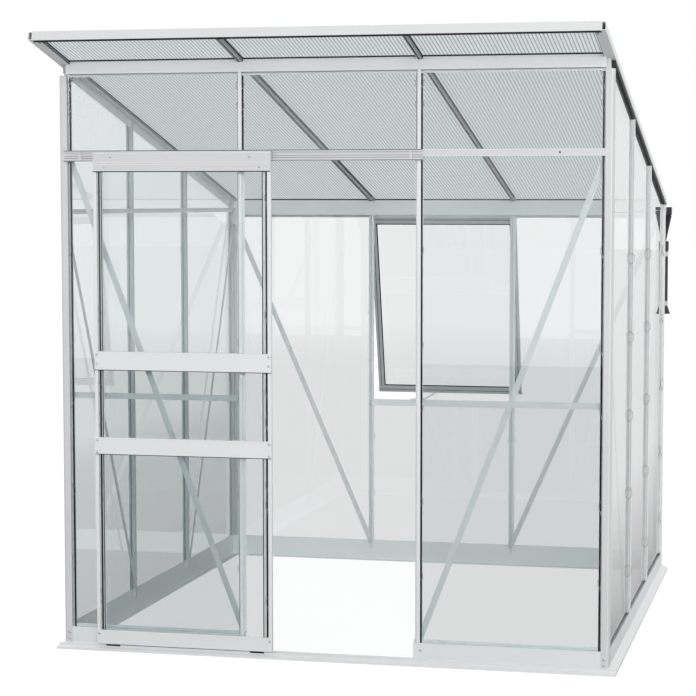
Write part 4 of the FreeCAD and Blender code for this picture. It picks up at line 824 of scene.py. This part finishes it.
# Studio: a pale floor that ends behind and before the object, a white surround and one broad soft lamp
studio = {
    "floorSide": 75.0, "floorFront": -16.5, "floorBack": 73.0, "floorPale": "#EDEDED",
    "floorWhite": 0.86, "floorShade": 0.2, "glassShade": 0.08, "throughGlass": (0.955, 0.96, 0.955),
    # how bright the floor looks through glass, from near to far
    "nearThroughGlass": 0.78, "farThroughGlass": 0.88, "farFrom": 14.0, "farTo": 22.0,
    # and in a mirror, from the front to the back, and beside the house
    "mirroredFront": 0.12, "mirroredBack": 0.7, "mirroredFrom": -2.0, "mirroredTo": 14.0,
    "mirroredBeside": 0.85, "besideFrom": 0.9, "besideTo": 1.7, "besideFront": -1.6, "besideBack": 0.4,
    "skyLow": 0.95, "skyHigh": 1.0, "indoors": 0.95,
    "lampStrength": 1.05, "lampAngle": 25.0, "lampTurn": (76.0, 0.0, 20.0),
}


# whether a ray still comes from the camera, with nothing but clear glass on its way
def unturnedRay(tree, path):
    bounces = addNode(tree, "ShaderNodeMath", {"operation": "ADD"}, {
        0: path.outputs["Glossy Depth"], 1: path.outputs["Diffuse Depth"]})
    straight = addNode(tree, "ShaderNodeMath", {"operation": "LESS_THAN", 1: 0.5}, {0: bounces.outputs[0]})
    return addNode(tree, "ShaderNodeMath", {"operation": "MULTIPLY"}, {
        0: straight.outputs[0], 1: path.outputs["Is Transmission Ray"]}).outputs[0]


# a diffuse surface with its own glow, so that shadows on it stay faint
def glowingFloor(tree, shade, glow=1.0, level=None):
    pale = addNode(tree, "ShaderNodeBsdfDiffuse", {"Color": (shade, shade, shade, 1.0)})
    light = addNode(tree, "ShaderNodeEmission", {"Strength": glow}, {"Color": level} if level else None)
    return addNode(tree, "ShaderNodeAddShader", links={0: pale.outputs["BSDF"], 1: light.outputs["Emission"]})


def addFloor():
    side = studio["floorSide"]
    corners = [(-side, studio["floorFront"], 0.0), (side, studio["floorFront"], 0.0),
               (side, studio["floorBack"], 0.0), (-side, studio["floorBack"], 0.0)]
    mesh = bpy.data.meshes.new("studioFloor")
    mesh.from_pydata(corners, [], [(0, 1, 2, 3)])
    floor = bpy.data.objects.new("studioFloor", mesh)
    bpy.context.scene.collection.objects.link(floor)
    material, tree = newMaterial("paintedFloor")
    pale = addNode(tree, "ShaderNodeBsdfDiffuse", {"Color": linearOf(studio["floorPale"])})
    # mirrored in glass and metal, the floor is darker before the object than behind it
    place = addNode(tree, "ShaderNodeTexCoord")
    split = addNode(tree, "ShaderNodeSeparateXYZ", links={"Vector": place.outputs["Object"]})
    level = addNode(tree, "ShaderNodeMapRange", {
        "From Min": studio["mirroredFrom"], "From Max": studio["mirroredTo"],
        "To Min": studio["mirroredFront"], "To Max": studio["mirroredBack"]}, {"Value": split.outputs["Y"]})
    # to the right of the house it is bright, also close by
    rightwards = addNode(tree, "ShaderNodeMapRange", {
        "From Min": studio["besideFrom"], "From Max": studio["besideTo"]}, {"Value": split.outputs["X"]})
    backwards = addNode(tree, "ShaderNodeMapRange", {
        "From Min": studio["besideFront"], "From Max": studio["besideBack"]}, {"Value": split.outputs["Y"]})
    beside = addNode(tree, "ShaderNodeMath", {"operation": "MULTIPLY"}, {
        0: rightwards.outputs["Result"], 1: backwards.outputs["Result"]})
    lit = addNode(tree, "ShaderNodeMix", {"data_type": "FLOAT", 3: studio["mirroredBeside"]}, {
        0: beside.outputs[0], 2: level.outputs["Result"]})
    mirrored = addNode(tree, "ShaderNodeEmission", {"Strength": 1.0}, {"Color": lit.outputs[0]})
    white = glowingFloor(tree, studio["floorShade"], studio["floorWhite"])
    seen = addNode(tree, "ShaderNodeMapRange", {
        "From Min": studio["farFrom"], "From Max": studio["farTo"],
        "To Min": studio["nearThroughGlass"], "To Max": studio["farThroughGlass"]},
                   {"Value": split.outputs["Y"]})
    tinted = glowingFloor(tree, studio["glassShade"], level=seen.outputs["Result"])
    path = addNode(tree, "ShaderNodeLightPath")
    turned = addNode(tree, "ShaderNodeMath", {"operation": "GREATER_THAN", 1: 0.5},
                     {0: path.outputs["Glossy Depth"]})
    grey = addNode(tree, "ShaderNodeMixShader", links={
        0: turned.outputs[0], 1: pale.outputs["BSDF"], 2: mirrored.outputs["Emission"]})
    behindGlass = addNode(tree, "ShaderNodeMixShader", links={
        0: unturnedRay(tree, path), 1: grey.outputs["Shader"], 2: tinted.outputs["Shader"]})
    mix = addNode(tree, "ShaderNodeMixShader", links={
        0: path.outputs["Is Camera Ray"], 1: behindGlass.outputs["Shader"], 2: white.outputs["Shader"]})
    addNode(tree, "ShaderNodeOutputMaterial", links={"Surface": mix.outputs["Shader"]})
    mesh.materials.append(material)


def addSurround():
    world = bpy.data.worlds.new("surround")
    bpy.context.scene.world = world
    world.use_nodes = True
    tree = world.node_tree
    tree.nodes.clear()
    white = addNode(tree, "ShaderNodeBackground", {"Color": (1.0, 1.0, 1.0, 1.0), "Strength": 1.0})
    tinted = addNode(tree, "ShaderNodeBackground", {"Color": (*studio["throughGlass"], 1.0), "Strength": 1.0})
    path = addNode(tree, "ShaderNodeLightPath")
    direction = addNode(tree, "ShaderNodeTexCoord")
    split = addNode(tree, "ShaderNodeSeparateXYZ", links={"Vector": direction.outputs["Generated"]})
    side = addNode(tree, "ShaderNodeMapRange", {
        "From Min": -1.0, "To Min": studio["skyLow"], "To Max": studio["skyHigh"],
    }, {"Value": split.outputs["X"]})
    # what the inside of the house catches through its glass is duller than the open sky
    caught = addNode(tree, "ShaderNodeMapRange", {"To Min": 1.0, "To Max": studio["indoors"]},
                     {"Value": path.outputs["Is Transmission Ray"]})
    level = addNode(tree, "ShaderNodeMath", {"operation": "MULTIPLY"}, {
        0: side.outputs["Result"], 1: caught.outputs["Result"]})
    soft = addNode(tree, "ShaderNodeBackground", {"Strength": 1.0}, {"Color": level.outputs[0]})
    behindGlass = addNode(tree, "ShaderNodeMixShader", links={
        0: unturnedRay(tree, path), 1: soft.outputs["Background"], 2: tinted.outputs["Background"]})
    mix = addNode(tree, "ShaderNodeMixShader", links={
        0: path.outputs["Is Camera Ray"], 1: behindGlass.outputs["Shader"], 2: white.outputs["Background"]})
    addNode(tree, "ShaderNodeOutputWorld", links={"Surface": mix.outputs["Shader"]})
    world.cycles.sampling_method = "NONE"


def addLamp():
    data = bpy.data.lights.new("softLamp", "SUN")
    data.energy = studio["lampStrength"]
    data.angle = math.radians(studio["lampAngle"])
    lamp = bpy.data.objects.new("softLamp", data)
    lamp.rotation_euler = [math.radians(a) for a in studio["lampTurn"]]
    bpy.context.scene.collection.objects.link(lamp)


addCamera()
addFloor()
addSurround()
addLamp()
bpy.context.scene.view_settings.view_transform = "Standard"
print("studio set up")
